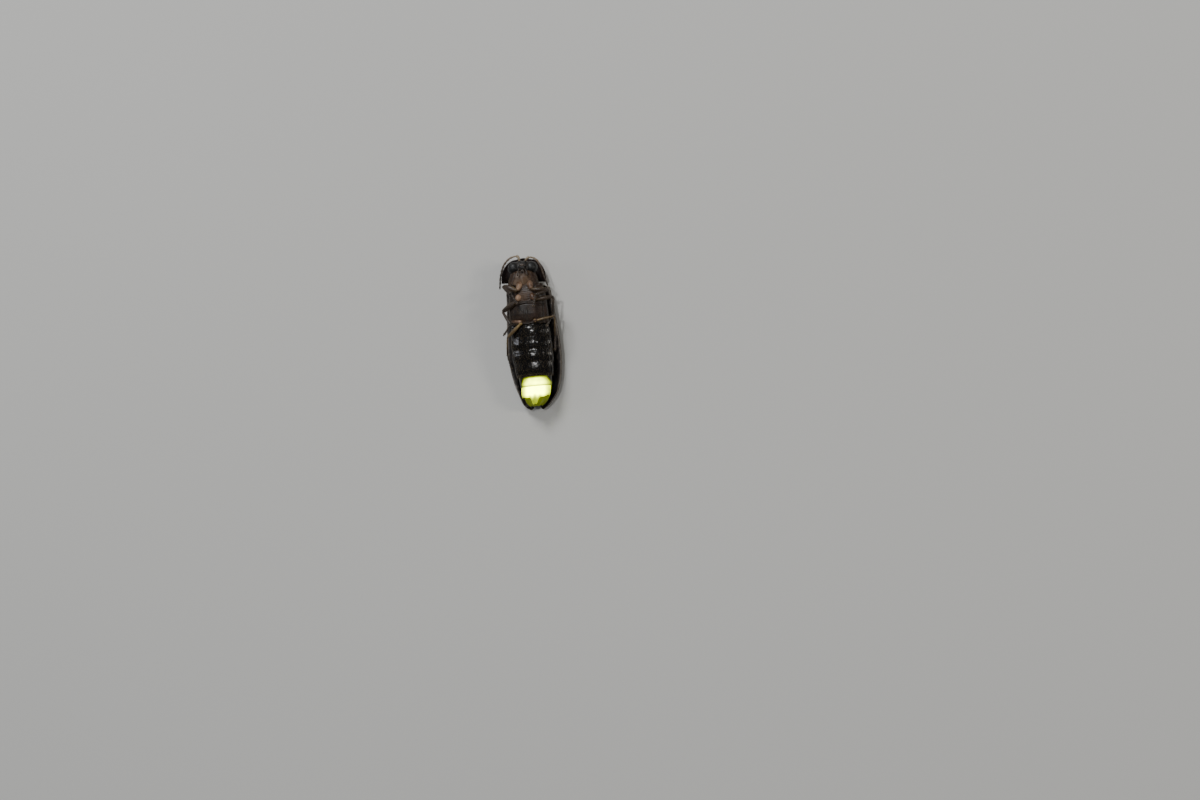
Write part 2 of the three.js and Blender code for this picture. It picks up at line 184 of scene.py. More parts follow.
def walls(number: Array) -> Array:
    """The faces between neighbouring rings.

    Args:
        number: Point numbers by ring and place in it.

    Returns:
        Corner numbers, four to a face.
    """
    beside = np.roll(number, -1, axis=-1)
    corners = [number[..., :-1, :], beside[..., :-1, :], beside[..., 1:, :], number[..., 1:, :]]
    return np.stack(corners, -1).reshape(-1, 4)


@dataclass
class Surface:
    """A closed skin: rings of points, a fan over the first and the last ring, and a tint at each point."""

    rings: Array
    tint: Array | float = 0.0

    def __post_init__(self) -> None:
        """Gives every point a tint of its own, and turns the rings so that the faces point outwards."""
        self.tint = np.broadcast_to(self.tint, self.rings.shape[:2]).astype(float)
        if self._volume() < 0:
            self.rings = self.rings[:, ::-1]
            self.tint = self.tint[:, ::-1]

    def points(self) -> Array:
        """Every point, with the two hubs of the end fans last."""
        return np.concatenate([self.rings.reshape(-1, 3), self.rings[[0, -1]].mean(1)])

    def tints(self) -> Array:
        """The tint of every point and hub."""
        return np.concatenate([self.tint.ravel(), self.tint[[0, -1]].mean(1)])

    def faces(self) -> Array:
        """The walls between the rings, then the two fans.

        Returns:
            Corner numbers: four to a face, or three and a mark.
        """
        number = np.arange(self.tint.size).reshape(self.tint.shape)
        first, last = number[0], number[-1]
        hub, mark = np.full_like(first, number.size), np.full_like(first, TRIANGLE)
        front = np.stack([np.roll(first, -1), first, hub, mark], -1)
        rear = np.stack([last, np.roll(last, -1), hub + 1, mark], -1)
        return np.concatenate([walls(number), front, rear])

    def _volume(self) -> float:
        """Adds up the pyramids from the skin's middle to each face.

        Returns:
            Six times the enclosed volume, negative where the faces point inwards.
        """
        points = self.points() - self.rings.mean((0, 1))
        corners = self.faces()
        a, b, c = (points[corners[:, k]] for k in range(3))
        quads = corners[:, 3] != TRIANGLE
        d = points[corners[quads, 3]]
        return float((a * np.cross(b, c)).sum() + (a[quads] * np.cross(c[quads], d)).sum())

    def normals(self) -> Array:
        """The outward direction at each point of the rings: across the lines to its neighbours."""
        beside = np.roll(self.rings, -1, axis=1) - np.roll(self.rings, 1, axis=1)
        return unit(np.cross(beside, np.gradient(self.rings, axis=0)))

    def raised(self, height: Array) -> "Surface":
        """The same skin with each point moved outwards by a height."""
        return Surface(self.rings + self.normals() * np.asarray(height)[..., None], self.tint)

    def placed(self, place: Placement) -> "Surface":
        """The same skin with its points moved by a placement."""
        return Surface(place(self.rings), self.tint)


def linear(colour: str) -> tuple[float, float, float, float]:
    """An sRGB colour such as #a0b0c0 as linear light, with alpha 1.

    Args:
        colour: The colour in hex.

    Returns:
        Red, green, blue and alpha.
    """
    shares = [int(colour[k : k + 2], 16) / 255 for k in (1, 3, 5)]
    light = [c / 12.92 if c <= 0.04045 else ((c + 0.055) / 1.055) ** 2.4 for c in shares]
    return (light[0], light[1], light[2], 1.0)


def add_node(tree: bpy.types.NodeTree, kind: str, values: dict) -> bpy.types.Node:
    """Adds a node with its settings and links.

    Args:
        tree: The material's nodes.
        kind: The node's type, without its ShaderNode.
        values: By property, or by input name or number, the value to set or the output to link.

    Returns:
        The node.
    """
    node = tree.nodes.new(f"ShaderNode{kind}")
    for key, value in values.items():
        if isinstance(value, bpy.types.NodeSocket):
            tree.links.new(value, node.inputs[key])
        elif isinstance(key, str) and hasattr(node, key):
            setattr(node, key, value)
        else:
            node.inputs[key].default_value = value
    return node


def new_material(name: str) -> tuple[bpy.types.Material, Callable, bpy.types.NodeSocket]:
    """Starts a node material.

    Args:
        name: Its name.

    Returns:
        The material, the function that adds a node to it, and the output with the places on the piece.
    """
    material = bpy.data.materials.new(name)
    material.use_nodes = True
    material.node_tree.nodes.clear()
    add = partial(add_node, material.node_tree)
    return material, add, add("TexCoord", {}).outputs["Object"]


def per_metre(pitch: float) -> float:
    """A texture's scale for a pitch in millimetres."""
    return 1 / (pitch * MM)


def set_ramp(node: bpy.types.Node, colours: Sequence[str]) -> bpy.types.NodeSocket:
    """Spreads colours evenly over a colour ramp.

    Args:
        node: The ramp's node.
        colours: The colours in hex.

    Returns:
        Its output.
    """
    stops = node.color_ramp.elements
    while len(stops) < len(colours):
        stops.new(0.5)
    for k, colour in enumerate(colours):
        stops[k].position = k / (len(colours) - 1)
        stops[k].color = linear(colour)
    return node.outputs["Color"]


@dataclass(frozen=True)
class Cuticle:
    """Insect cuticle: layered chitin, tanned brown as it hardens and sealed with a thin film of wax.

    It looks like polished horn: a satin gloss over a fine grain, darker where it is thick. The tint at each
    point picks a colour between the dark, middle and light ones, and a slow mottle shifts it.
    """

    name: str
    colours: tuple[str, ...]
    roughness: float = 0.35
    wax: float = 0.25
    shine: float = 0.5
    mottle_pitch: float = 0.7
    mottle: float = 0.16
    # The real net of fine lines is about 0.015 mm wide, too fine to show, so it is drawn coarser. So are pits.
    grain_pitch: float = 0.035
    grain_height: float = 0.0012
    pit_pitch: float = 0.0
    pit_depth: float = 0.006

    def material(self) -> bpy.types.Material:
        """Builds the material: pits are left out where the tint says that the horn is pale and soft.

        Returns:
            The material.
        """
        material, add, place = new_material(self.name)
        tint = add("Attribute", {"attribute_name": "tint"}).outputs["Fac"]
        slow = {"Scale": per_metre(self.mottle_pitch), "Detail": 3.0, "Roughness": 0.55, "Vector": place}
        fine = {"Scale": per_metre(self.grain_pitch), "Detail": 2.0, "Roughness": 0.5, "Vector": place}
        mottle = {"From Min": 0.3, "From Max": 0.7, "Value": add("TexNoise", slow).outputs["Fac"]}
        shift = add("MapRange", {**mottle, "To Min": -self.mottle, "To Max": self.mottle})
        rough = add("MapRange", {**mottle, "To Min": self.roughness * 0.8, "To Max": self.roughness * 1.25})
        factor = add("Math", {"operation": "ADD", "use_clamp": True, 0: tint, 1: shift.outputs[0]})
        grain = add("TexNoise", fine).outputs["Fac"]
        bump = add("Bump", {"Strength": 1.0, "Distance": self.grain_height * MM, "Height": grain})
        if self.pit_pitch:
            cells = {"feature": "SMOOTH_F1", "Scale": per_metre(self.pit_pitch), "Smoothness": 0.3}
            distance = add("TexVoronoi", {**cells, "Vector": place}).outputs["Distance"]
            bowl = {"interpolation_type": "SMOOTHSTEP", "From Min": 0.05, "From Max": 0.45, "Value": distance}
            hard = {"From Min": 0.42, "From Max": 0.25, "Value": tint}
            bump = add("Bump", {
                "Distance": self.pit_depth * MM,
                "Height": add("MapRange", bowl).outputs[0],
                "Normal": bump.outputs["Normal"],
                "Strength": add("MapRange", hard).outputs[0],
            })
        shader = add("BsdfPrincipled", {
            "IOR": 1.56,
            "Specular IOR Level": self.shine,
            "Coat Weight": self.wax,
            "Coat Roughness": 0.14,
            "Coat IOR": 1.45,
            "Base Color": set_ramp(add("ValToRGB", {"Fac": factor.outputs[0]}), self.colours),
            "Roughness": rough.outputs[0],
            "Normal": bump.outputs["Normal"],
        })
        add("OutputMaterial", {"Surface": shader.outputs[0]})
        return material


@dataclass(frozen=True)
class LanternCuticle:
    """Clear cuticle over a layer of lit cells: a yellow-green glow, nearly white in the middle. On the tail
    plate the same material gives a faint painted glow that stands in for the lantern's light through its film.

    The tint is how bright it glows, and a fine mosaic shows the cells under the cuticle. Real cells are about
    0.01 mm wide, and are drawn coarser to show.
    """

    name: str = "lantern_cuticle"
    body_colours: tuple[str, ...] = ("#120d06", "#3a3a08", "#7a7418", "#e4dfae")
    glow_colours: tuple[str, ...] = ("#000000", "#242900", "#4b5300", "#8e9a00", "#f0ff00")
    strength: float = 22.0
    roughness: float = 0.3
    wax: float = 0.3
    cell_pitch: float = 0.04
    cell_height: float = 0.002

    def material(self) -> bpy.types.Material:
        """Builds the material.

        Returns:
            The material.
        """
        material, add, place = new_material(self.name)
        tint = add("Attribute", {"attribute_name": "tint"}).outputs["Fac"]
        cells = {"Scale": per_metre(self.cell_pitch), "Randomness": 0.9, "Vector": place}
        distance = add("TexVoronoi", cells).outputs["Distance"]
        mosaic = {"From Min": 0.1, "From Max": 0.7, "To Min": 0.015, "To Max": -0.03, "Value": distance}
        speckle = add("MapRange", mosaic)
        glow = add("Math", {"operation": "ADD", "use_clamp": True, 0: tint, 1: speckle.outputs[0]}).outputs[0]
        bump = add("Bump", {"Strength": 0.6, "Distance": self.cell_height * MM, "Height": distance})
        shader = add("BsdfPrincipled", {
            "IOR": 1.5,
            "Roughness": self.roughness,
            "Coat Weight": self.wax,
            "Emission Strength": self.strength,
            "Base Color": set_ramp(add("ValToRGB", {"Fac": glow}), self.body_colours),
            "Emission Color": set_ramp(add("ValToRGB", {"Fac": glow}), self.glow_colours),
            "Normal": bump.outputs["Normal"],
        })
        add("OutputMaterial", {"Surface": shader.outputs[0]})
        return material


@dataclass(frozen=True)
class Matte:
    """A plain soft finish with a little mottle: the clear horn of the hairs, and the floor's painted board."""

    name: str
    colours: tuple[str, ...]
    roughness: float
    pitch: float

    def material(self) -> bpy.types.Material:
        """Builds the material.

        Returns:
            The material.
        """
        material, add, place = new_material(self.name)
        noise = add("TexNoise", {"Scale": per_metre(self.pitch), "Detail": 2.0, "Vector": place})
        colour = set_ramp(add("ValToRGB", {"Fac": noise.outputs["Fac"]}), self.colours)
        shader = add("BsdfPrincipled", {"Roughness": self.roughness, "Base Color": colour})
        add("OutputMaterial", {"Surface": shader.outputs[0]})
        return material


class Finish(Enum):
    """Every finish of the insect, with the record's slot that it belongs to."""

    # Wing cases and shield: nearly black horn, finely pitted, the shield with a paler brim.
    # The pale line along each wing case's rim is a painted highlight.
    CASE = ("wing_case", Cuticle("wing_case_horn", ("#0f0a09", "#1a1210", "#766d64"), 0.45, 0.1,
                                 mottle_pitch=0.2, mottle=0.26, pit_pitch=0.05, pit_depth=0.0045))
    SHIELD = ("shield", Cuticle("neck_shield_horn", ("#110909", "#281617", "#6b5d51"), 0.48, 0.04,
                                pit_pitch=0.045, pit_depth=0.004))
    # Hind wings: a smoky film with darker veins.
    WING = ("hind_wing", Cuticle("folded_wing_film", ("#3a312d", "#5b4f48", "#2a201b"), 0.3, 0.4))
    # Head: the same dark horn, paler at the mouth. Eyes: black lenses with a soft shine.
    HEAD = ("head", Cuticle("head_horn", ("#0a0707", "#1b1413", "#65584e"), 0.44, 0.05, pit_pitch=0.03,
                            pit_depth=0.002))
    EYE = ("eye", Cuticle("eye_lens", ("#040404", "#0a0a0a", "#242121"), 0.42, 0.04, mottle=0.08))
    # Feelers: dull brown horn, pale at the root.
    FEELER = ("feeler", Cuticle("feeler_horn", ("#2a211c", "#6a5746", "#b8a78c"), 0.5, 0.05))
    # Breast: duller brown horn under fine down.
    BREAST = ("thorax", Cuticle("breast_horn", ("#120904", "#2c190d", "#5f4833"), 0.46, 0.0, shine=0.36,
                                mottle=0.2, mottle_pitch=0.5, pit_pitch=0.04, pit_depth=0.002))
    # Belly: the glossiest horn, black-brown.
    BELLY = ("belly", Cuticle("belly_horn", ("#060404", "#0f0b0a", "#2c201b"), 0.15, 0.0, pit_pitch=0.045,
                              pit_depth=0.0018))
    # Lantern: clear horn over the light.
    # Tail plate: a dull olive film; its glow is painted, and stands in for the lantern's light through it.
    LANTERN = ("lantern", LanternCuticle())
    TAIL = ("tail", LanternCuticle("tail_film", ("#0b0a04", "#1b190a", "#2e2b10", "#4c461f"),
                                   ("#000000", "#0b0d00", "#161a00", "#242900", "#4b5300"), roughness=0.5,
                                   wax=0.05))
    # Hips: pinkish tan, mottled and wrinkled, because their horn is thin.
    HIP = ("hip", Cuticle("hip_horn", ("#1d130d", "#5c4230", "#a2836a"), 0.45, 0.0, mottle_pitch=0.3,
                          mottle=0.24, grain_height=0.003))
    # Legs and feet: brown horn, yellower at the root of a length.
    LEG = ("leg", Cuticle("leg_horn", ("#150f0b", "#3e2e23", "#9a8150"), 0.45, 0.06))
    FOOT = ("foot", Cuticle("foot_horn", ("#171110", "#3c2f27", "#8d7b60"), 0.48, 0.05))
    # Soft skin: horn that never hardens, so it is dull and pale. Hairs: clear brown horn.
    SKIN = ("membrane", Cuticle("soft_skin", ("#3a2a20", "#6d5643", "#a88c70"), 0.6, 0.0))
    HAIR = ("hair", Matte("bristle_horn", ("#40341f", "#8f7c58"), 0.45, 0.8))

    @property
    def slot(self) -> str:
        """The record's material slot."""
        return self.value[0]

    def material(self) -> bpy.types.Material:
        """The finish's material, built the first time it is asked for."""
        return bpy.data.materials.get(self.value[1].name) or self.value[1].material()


def make_mesh(name: str, points: Array, faces: Array) -> bpy.types.Mesh:
    """Puts points in millimetres and faces into a smooth mesh in metres.

    Args:
        name: The mesh's name.
        points: One row for each vertex.
        faces: Corner numbers, with a mark for the missing fourth of a triangle.

    Returns:
        The mesh.
    """
    mesh = bpy.data.meshes.new(name)
    sizes = (faces != TRIANGLE).sum(1)
    corners = faces[faces != TRIANGLE]
    mesh.vertices.add(len(points))
    mesh.vertices.foreach_set("co", (points * MM).astype(np.float32).ravel())
    mesh.loops.add(len(corners))
    mesh.loops.foreach_set("vertex_index", corners.astype(np.int32))
    mesh.polygons.add(len(faces))
    mesh.polygons.foreach_set("loop_start", np.concatenate([[0], np.cumsum(sizes)[:-1]]).astype(np.int32))
    mesh.polygons.foreach_set("use_smooth", np.ones(len(faces), bool))
    mesh.update(calc_edges=True)
    return mesh


def add_object(data: bpy.types.ID) -> bpy.types.Object:
    """Puts a mesh, a camera or a lamp into the scene.

    Args:
        data: What to put there.

    Returns:
        Its object, of the same name.
    """
    item = bpy.data.objects.new(data.name, data)
    bpy.context.scene.collection.objects.link(item)
    return item


def finish_piece(mesh: bpy.types.Mesh, finish: Finish, nodes: Sequence[str] = ()) -> None:
    """Makes a piece of a mesh, dresses it, and ties it to the body and to the solids that it stands for.

    Args:
        mesh: Its mesh, in place.
        finish: What it is made of.
        nodes: The solids that it replaces.
    """
    piece = add_object(mesh)
    mesh.materials.append(finish.material())
    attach(piece, "root")
    if nodes:
        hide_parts(*nodes)
    log.info("%s: %d faces, %s", piece.name, len(mesh.polygons), finish.slot)


def build_piece(name: str, surfaces: Sequence[Surface], finish: Finish, nodes: Sequence[str] = ()) -> None:
    """Joins surfaces into one piece, with their tints as a point attribute.

    Args:
        name: The piece's name.
        surfaces: Its closed skins.
        finish: What it is made of.
        nodes: The solids that it replaces.
    """
    counts = np.cumsum([0] + [len(s.points()) for s in surfaces])
    faces = [np.where(s.faces() == TRIANGLE, TRIANGLE, s.faces() + c) for s, c in zip(surfaces, counts)]
    mesh = make_mesh(name, np.concatenate([s.points() for s in surfaces]), np.concatenate(faces))
    tint = mesh.attributes.new("tint", "FLOAT", "POINT")
    tint.data.foreach_set("value", np.concatenate([s.tints() for s in surfaces]).astype(np.float32))
    finish_piece(mesh, finish, nodes)


def turned(points: Array, angle: float, axis: int, hinge: Point) -> Array:
    """Turns points about a line along one axis.

    Args:
        points: The points.
        angle: The angle in radians, counterclockwise for an eye that looks against the axis.
        axis: 0, 1 or 2 for X, Y or Z.
        hinge: A point on the line.

    Returns:
        The turned points.
    """
    first, second = (axis + 1) % 3, (axis + 2) % 3
    arm = points - np.array(hinge)
    result = arm.copy()
    result[..., first] = math.cos(angle) * arm[..., first] - math.sin(angle) * arm[..., second]
    result[..., second] = math.sin(angle) * arm[..., first] + math.cos(angle) * arm[..., second]
    return result + np.array(hinge)


@dataclass(frozen=True)
class Lie:
    """How the insect lies: where its body lines are in the frame, and how its turned groups stand to them."""

    neck: Point = (0.0, 3.1, 1.2)
    head_roll: float = 0.14
    head_turn: float = -0.04
    head_shift: Point = (-0.22, 0.1, 0.0)
    case_turn: float = -0.02
    case_bend: tuple[float, float, float] = (-0.2, -3.7, -4.9)
    tail_y: float = -3.37
    tail_bend: float = 0.14
    scutellum_middle: Point = (0.0, 2.9, 0.32)

    def body(self, points: Array) -> Array:
        """Places a point of the trunk by the solids' shift, measured on the scutellum, which isn't turned."""
        middle = np.mean(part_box("scutellum"), axis=0) / MM
        return points + (middle - np.array(self.scutellum_middle))

    def fore(self, points: Array) -> Array:
        """Places a point of the fore-body: rolled, turned and moved a little to the insect's right."""
        rolled = turned(points, self.head_roll, 1, self.neck)
        return self.body(turned(rolled, self.head_turn, 2, self.neck) + np.array(self.head_shift))

    def neck_skin(self, points: Array) -> Array:
        """Places a point of the soft skin, which leads over from the trunk to the fore-body."""
        return mix(self.body(points), self.fore(points), ease(points[..., 1:2], 2.95, 3.35))

    def case(self, side: Side, points: Array) -> Array:
        """Places a point of a wing case: both tips are drawn over to the insect's right, and the right case
        stands a little open.

        Args:
            side: Whose wing case it is.
            points: The points.

        Returns:
            The placed points.
        """
        width, start, end = self.case_bend
        bent = points + width * ease(points[..., 1:2], start, end) * np.array([1, 0, 0])
        return self.body(turned(bent, self.case_turn if side is Side.RIGHT else 0.0, 2, self.neck))

    def tail(self, points: Array) -> Array:
        """Places a point of the last ring or the tail plate, which are drawn over to the insect's right."""
        shift = self.tail_bend * np.minimum(points[..., 1:2] - self.tail_y, 0)
        return self.body(points + shift * np.array([1, 0, 0]))


LIE = Lie()


@dataclass(frozen=True)
class WingCase:
    """A wing case: a thin curved shell with faint ribs, a rounded rim and a narrow shelf turned in along it.

    On it u runs from the seam to the rim, and v from the shoulder to the tip.
    """

    side: Side
    base: float = 3.1
    tip: float = -4.9
    shoulder: float = 1.4
    widest: float = 1.7
    rim: float = 0.9
    roundness: float = 2.8
    sink: float = 0.045
    bed: float = 0.008
    wall: float = 0.1
    bead: float = 0.045
    lip: float = 0.025
    shelf: float = 0.3
    rib_height: float = 0.016
    ribs: tuple[float, ...] = (0.2, 0.42, 0.66)
    rows: int = 230
    samples: int = 84

    def half_width(self, v: Array) -> Array:
        """Half width of the closed pair: widening past the shoulder, then a blunt arc to the tip.

        Args:
            v: From the shoulder to the tip.

        Returns:
            The half widths.
        """
        sides = mix(self.shoulder, self.widest, ease(v, -0.1, 0.55))
        corner = 1 - 0.14 * (1 - ease(v, 0, 0.06)) ** 2
        taper = (1 - (np.maximum(0, v - 0.52) / 0.5) ** 2.2) ** 0.55
        return sides * corner * taper

    def skin(self, u: Array, v: Array) -> Array:
        """The outer face: a quarter of a blunt oval across, lifted at both ends, and pressed level with a soft
        bend where it would go under the floor.

        Args:
            u: From the seam to the rim.
            v: From the shoulder to the tip.

        Returns:
            The places.
        """
        turn = u * np.pi / 2
        power = 2 / self.roundness
        inner = 0.008 + 0.08 * ease(v, 0.93, 1) ** 2
        x = mix(inner, self.half_width(v), np.sin(turn) ** power)
        lift = 0.16 * (1 - ease(v, 0, 0.14)) + 0.26 * ease(v, 0.72, 1.05) - self.sink
        rim = self.rim * mix(1.15, 0.62, ease(v, 0, 1)) * (1 - 0.45 * ease(v, 0.82, 1))
        rise = rim * (1 - np.cos(turn) ** power)
        seam = 0.05 * np.maximum(0, 1 - x / 0.35) ** 2
        y = np.broadcast_to(mix(self.base, self.tip, v), x.shape)
        z = lift + rise + seam - self.bed
        z = self.bed + (z + np.sqrt(z**2 + 0.04**2)) / 2
        return np.stack([self.side.value * x, y, z], -1)

    def inward(self, face: Array) -> Array:
        """The direction from each point of a face into the shell."""
        way = unit(np.cross(np.gradient(face, axis=1), np.gradient(face, axis=0)))
        return way * np.sign((way * [-self.side.value, 0, 1]).sum(-1, keepdims=True))

    def _rim(self, edge: Array, v: Array) -> tuple[Array, Array]:
        """The bead along the edge, the shelf turned in from it, the shelf's round lip and its underside.

        Args:
            edge: The outer face's edge.
            v: From the shoulder to the tip.

        Returns:
            The points in the order of a ring, and their tints, which paint a highlight along the rim.
        """
        out, up = np.array([self.side.value, 0, 0]), np.array([0, 0, 1])
        middle = edge - out * self.bead
        turn = np.linspace(0, np.pi / 2, 7)[1:, None]
        bead = middle + self.bead * (np.cos(turn) * out + np.sin(turn) * up)
        width = self.shelf * ease(v, 0.0, 0.1) * mix(1, 0.3, ease(v, 0.55, 0.97))
        reach = np.linspace(0, 1, 9)[1:]
        top = middle - out * (reach * width)[..., None] + up * (self.bead - 0.05 * reach**2)[:, None]
        fold = np.linspace(0, np.pi, 6)[1:, None]
        end = top[:, -1:] - up * self.lip
        lip = end - out * self.lip * np.sin(fold) + up * self.lip * np.cos(fold)
        back = np.linspace(1, 0.2, 7)[1:]
        under = lip[:, -1:] + out * ((1 - back) * width)[..., None]
        # Painted highlight: the bead, the shelf beside it and the lip are painted pale as a light line along
        # the rim.
        shelf_painted_highlight = mix(0.75, 0.45, ease(reach, 0, 0.4))
        tints = [np.full(len(turn), 0.95), shelf_painted_highlight, np.full(len(fold), 0.7), np.full(len(back), 0.45)]
        return np.concatenate([bead, top, lip, under], 1), np.concatenate(tints)

    def surface(self) -> Surface:
        """The whole shell: outer face, rim and inner face, gathered to a point inside its own outline at both
        ends.

        Returns:
            The skin, in place.
        """
        t = np.linspace(0, 1, self.samples)
        u = mix(t**1.4, 1 - (1 - t) ** 1.4, t)
        v = 0.5 - 0.5 * np.cos(np.pi * np.linspace(0.015, 0.985, self.rows))
        v = ((v - v[0]) / (v[-1] - v[0]))[:, None]
        outer = self.skin(u, v)
        inward = self.inward(outer)
        fade = ease(v, 0.04, 0.2) * (1 - ease(v, 0.75, 0.93))
        ribs = sum(hump(u, rib, 0.035) for rib in self.ribs) * fade * self.rib_height
        channel = 0.02 * hump(u, 0.93, 0.03) * ease(v, 0.02, 0.1)
        face = outer - inward * (ribs - channel)[..., None]
        face[..., 2] = np.maximum(face[..., 2], self.bed)
        rim, rim_tints_with_painted_highlight = self._rim(outer[:, -1:], v)
        lining = (outer + inward * self.wall)[:, ::-1][:, 6:]
        rings = np.concatenate([face, rim, lining], 1)
        # The rim's tints hold the painted highlight; the face and the lining keep the horn's own dark colour.
        tint = np.concatenate([np.zeros(face.shape[1]), rim_tints_with_painted_highlight, np.full(lining.shape[1], 0.45)])
        tip_fold = quarter_round(np.maximum(0, (v - 0.95) / 0.05))[..., None]
        base_fold = quarter_round(np.maximum(0, (0.02 - v) / 0.02))[..., None]
        heart = rings.mean(1, keepdims=True)
        heart[..., 2:] = rings[..., 2:].max(1, keepdims=True) * 0.85
        rings = heart + (rings - heart) * mix(0.02, 1, tip_fold * base_fold)
        return Surface(rings, tint).placed(partial(LIE.case, self.side))

    def build(self) -> Surface:
        """Makes the piece.

        Returns:
            Its skin, for the hairs.
        """
        surface = self.surface()
        build_piece(f"case_shell_{self.side.word}", [surface], Finish.CASE, [f"wing_case_{self.side.word}"])
        return surface


@dataclass(frozen=True)
class HindWing:
    """A folded hind wing: a thin film in lengthwise pleats, stiffened by veins, inside its wing case."""

    side: Side
    film: float = 0.018
    depth: float = 0.62
    pleat: float = 0.1
    pleats: float = 2.5
    start: float = 0.14
    end: float = 0.88
    veins: tuple[float, ...] = (0.985, 0.86, 0.7, 0.5, 0.28)
    cross_veins: tuple[float, ...] = (0.42, 0.6, 0.74)

    def build(self) -> None:
        """Makes the piece: the wing case's own face, carried inwards, with a zigzag added to its depth."""
        case = WingCase(self.side)
        v = np.linspace(self.start, self.end, 150)[:, None]
        w = np.linspace(0, 1, 120)
        reach = mix(0.7, 0.34, ease(v, 0.55, 1)) * np.sqrt(np.clip(1 - ((v - 0.2) / 0.69).clip(0) ** 6, 0, 1))
        base = case.skin(mix(0.05, reach, w), v)
        wave = np.abs((w * self.pleats + 0.12 * np.sin(5 * v)) % 1 - 0.5) * 2
        veins = sum(hump(w, place, 0.012) for place in self.veins)
        cross = sum(hump(v - 0.06 * w, place, 0.004) for place in self.cross_veins) * ease(w, 0.2, 0.9)
        sag = self.depth + self.pleat * wave + 0.02 * ripple(base, 0.8, 5)
        half = self.film * (1 + 1.2 * veins) / 2
        low, high = (base + case.inward(base) * depth[..., None] for depth in (sag - half, sag + half))
        tint = np.clip(veins + cross, 0, 1) * np.ones_like(sag)
        rings = np.concatenate([low, high[:, ::-1]], 1)
        skin = Surface(rings, np.concatenate([tint, tint[:, ::-1]], 1)).placed(partial(LIE.case, self.side))
        build_piece(f"folded_wing_{self.side.word}", [skin], Finish.WING, [f"hind_wing_{self.side.word}"])


def pillow(
    outline: Callable[[Array], Array],
    middle: Callable[[Array, Array], Array],
    thickness: Callable[[Array], Array],
    around: int = 160,
    steps: int = 44,
) -> tuple[Array, Array, Array]:
    """A plate with a round edge: rings grow from the middle of its lower face to its outline and shrink back
    over the upper face, at half its thickness below and above a middle surface.

    Args:
        outline: Gives x and y of the edge for turns from 0 to 2 pi.
        middle: Gives the middle surface's height for x and y.
        thickness: Gives the thickness for the share of the way out.
        around: Points in a ring.
        steps: Rings on each face.

    Returns:
        The rings, each one's share of the way out, and -1 on the lower face and 1 on the upper one.
    """
    turn = np.linspace(0, 2 * np.pi, around, endpoint=False)
    edge = outline(turn)
    hub = edge.mean(0)
    share = np.sin(np.linspace(0.02, np.pi - 0.02, 2 * steps))[:, None]
    half = np.sign(np.linspace(-1, 1, 2 * steps))[:, None]
    flat = hub + share[..., None] * (edge - hub)
    x, y = flat[..., 0], flat[..., 1]
    z = middle(x, y) + half * thickness(share) / 2 * np.sqrt(np.clip(1 - share**8, 0, 1))
    return np.stack([x, y, z], -1), share, half


@dataclass(frozen=True)
class NeckShield:
    """The shield over the head: an arched plate with a flat translucent brim and a fine raised edge."""

    front: float = 4.87
    length: float = 1.57
    half_width: float = 1.46
    arc: float = 1.25
    arc_power: float = 2.15
    squareness: float = 9.0

    def outline(self, turn: Array) -> Array:
        """The edge: a square with rounded corners, its front side bent to an arch and its rear corners drawn
        back a little.

        Args:
            turn: Turns from 0 to 2 pi.

        Returns:
            x and y of the edge.
        """
        power = 2 / self.squareness
        across = signed_power(np.cos(turn), power)
        back = 0.5 - 0.5 * signed_power(np.sin(turn), power)
        reach = np.minimum(np.abs(across), 0.9995)
        front = self.front - self.arc * (1 - (1 - reach**self.arc_power) ** (1 / self.arc_power))
        rear = self.front - self.length - 0.1 * reach**4
        return np.stack([across * self.half_width * mix(0.985, 1, back), mix(front, rear, back)], -1)

    def height(self, x: Array, y: Array) -> Array:
        """The outer face's height: it turns up at the sides and to the front, with two dents and a groove.

        Args:
            x: Places across.
            y: Places along.

        Returns:
            The heights.
        """
        reach = np.clip(np.abs(x) / self.half_width, 0, 1)
        forward = np.clip((y - self.front + self.length) / self.length, 0, 1)
        rise = 0.62 * reach**2.8 + 0.3 * forward**2.4 * (1 - reach**4)
        dents = 0.05 * hump(np.abs(x), 0.62, 0.2) * hump(y, 3.9, 0.35)
        groove = 0.035 * hump(x, 0, 0.05) * ease(forward, 0.05, 0.25) * (1 - ease(forward, 0.6, 0.9))
        return 0.14 + rise + dents + groove

    def build(self) -> Surface:
        """Makes the piece, paler in the brim, with a tan patch below it. The tan is the underside's own horn;
        its greater strength on the insect's left is painted light.

        Returns:
            Its skin, for the hairs.
        """
        rings, share, face = pillow(
            self.outline,
            lambda x, y: self.height(x, y) + 0.1,
            lambda share: 0.09 + 0.16 * (1 - ease(share, 0.55, 0.85)) + 0.07 * hump(share, 0.965, 0.02),
        )
        below = face > 0
        # The tan is real pale horn; its rise from 0.05 to 0.15 towards the insect's left is painted light.
        tan = mix(0.05, 0.15, ease(rings[..., 0], -0.4, 0.4)) * below
        tan = tan * ease(-rings[..., 1], -4.2, -3.5) * ease(np.abs(rings[..., 0]), 1.42, 1.05)
        brim = mix(0.45, 0.25, below) * ease(share, 0.62, 0.9)
        tint = brim * (1 - tan) + tan + 0.06 * ripple(rings, 0.5, 11)
        tint = tint + 0.35 * ease(share, 0.96, 0.985) * ~below
        surface = Surface(rings, tint).placed(LIE.fore)
        build_piece("neck_shield", [surface], Finish.SHIELD, ["pronotum"])
        return surface


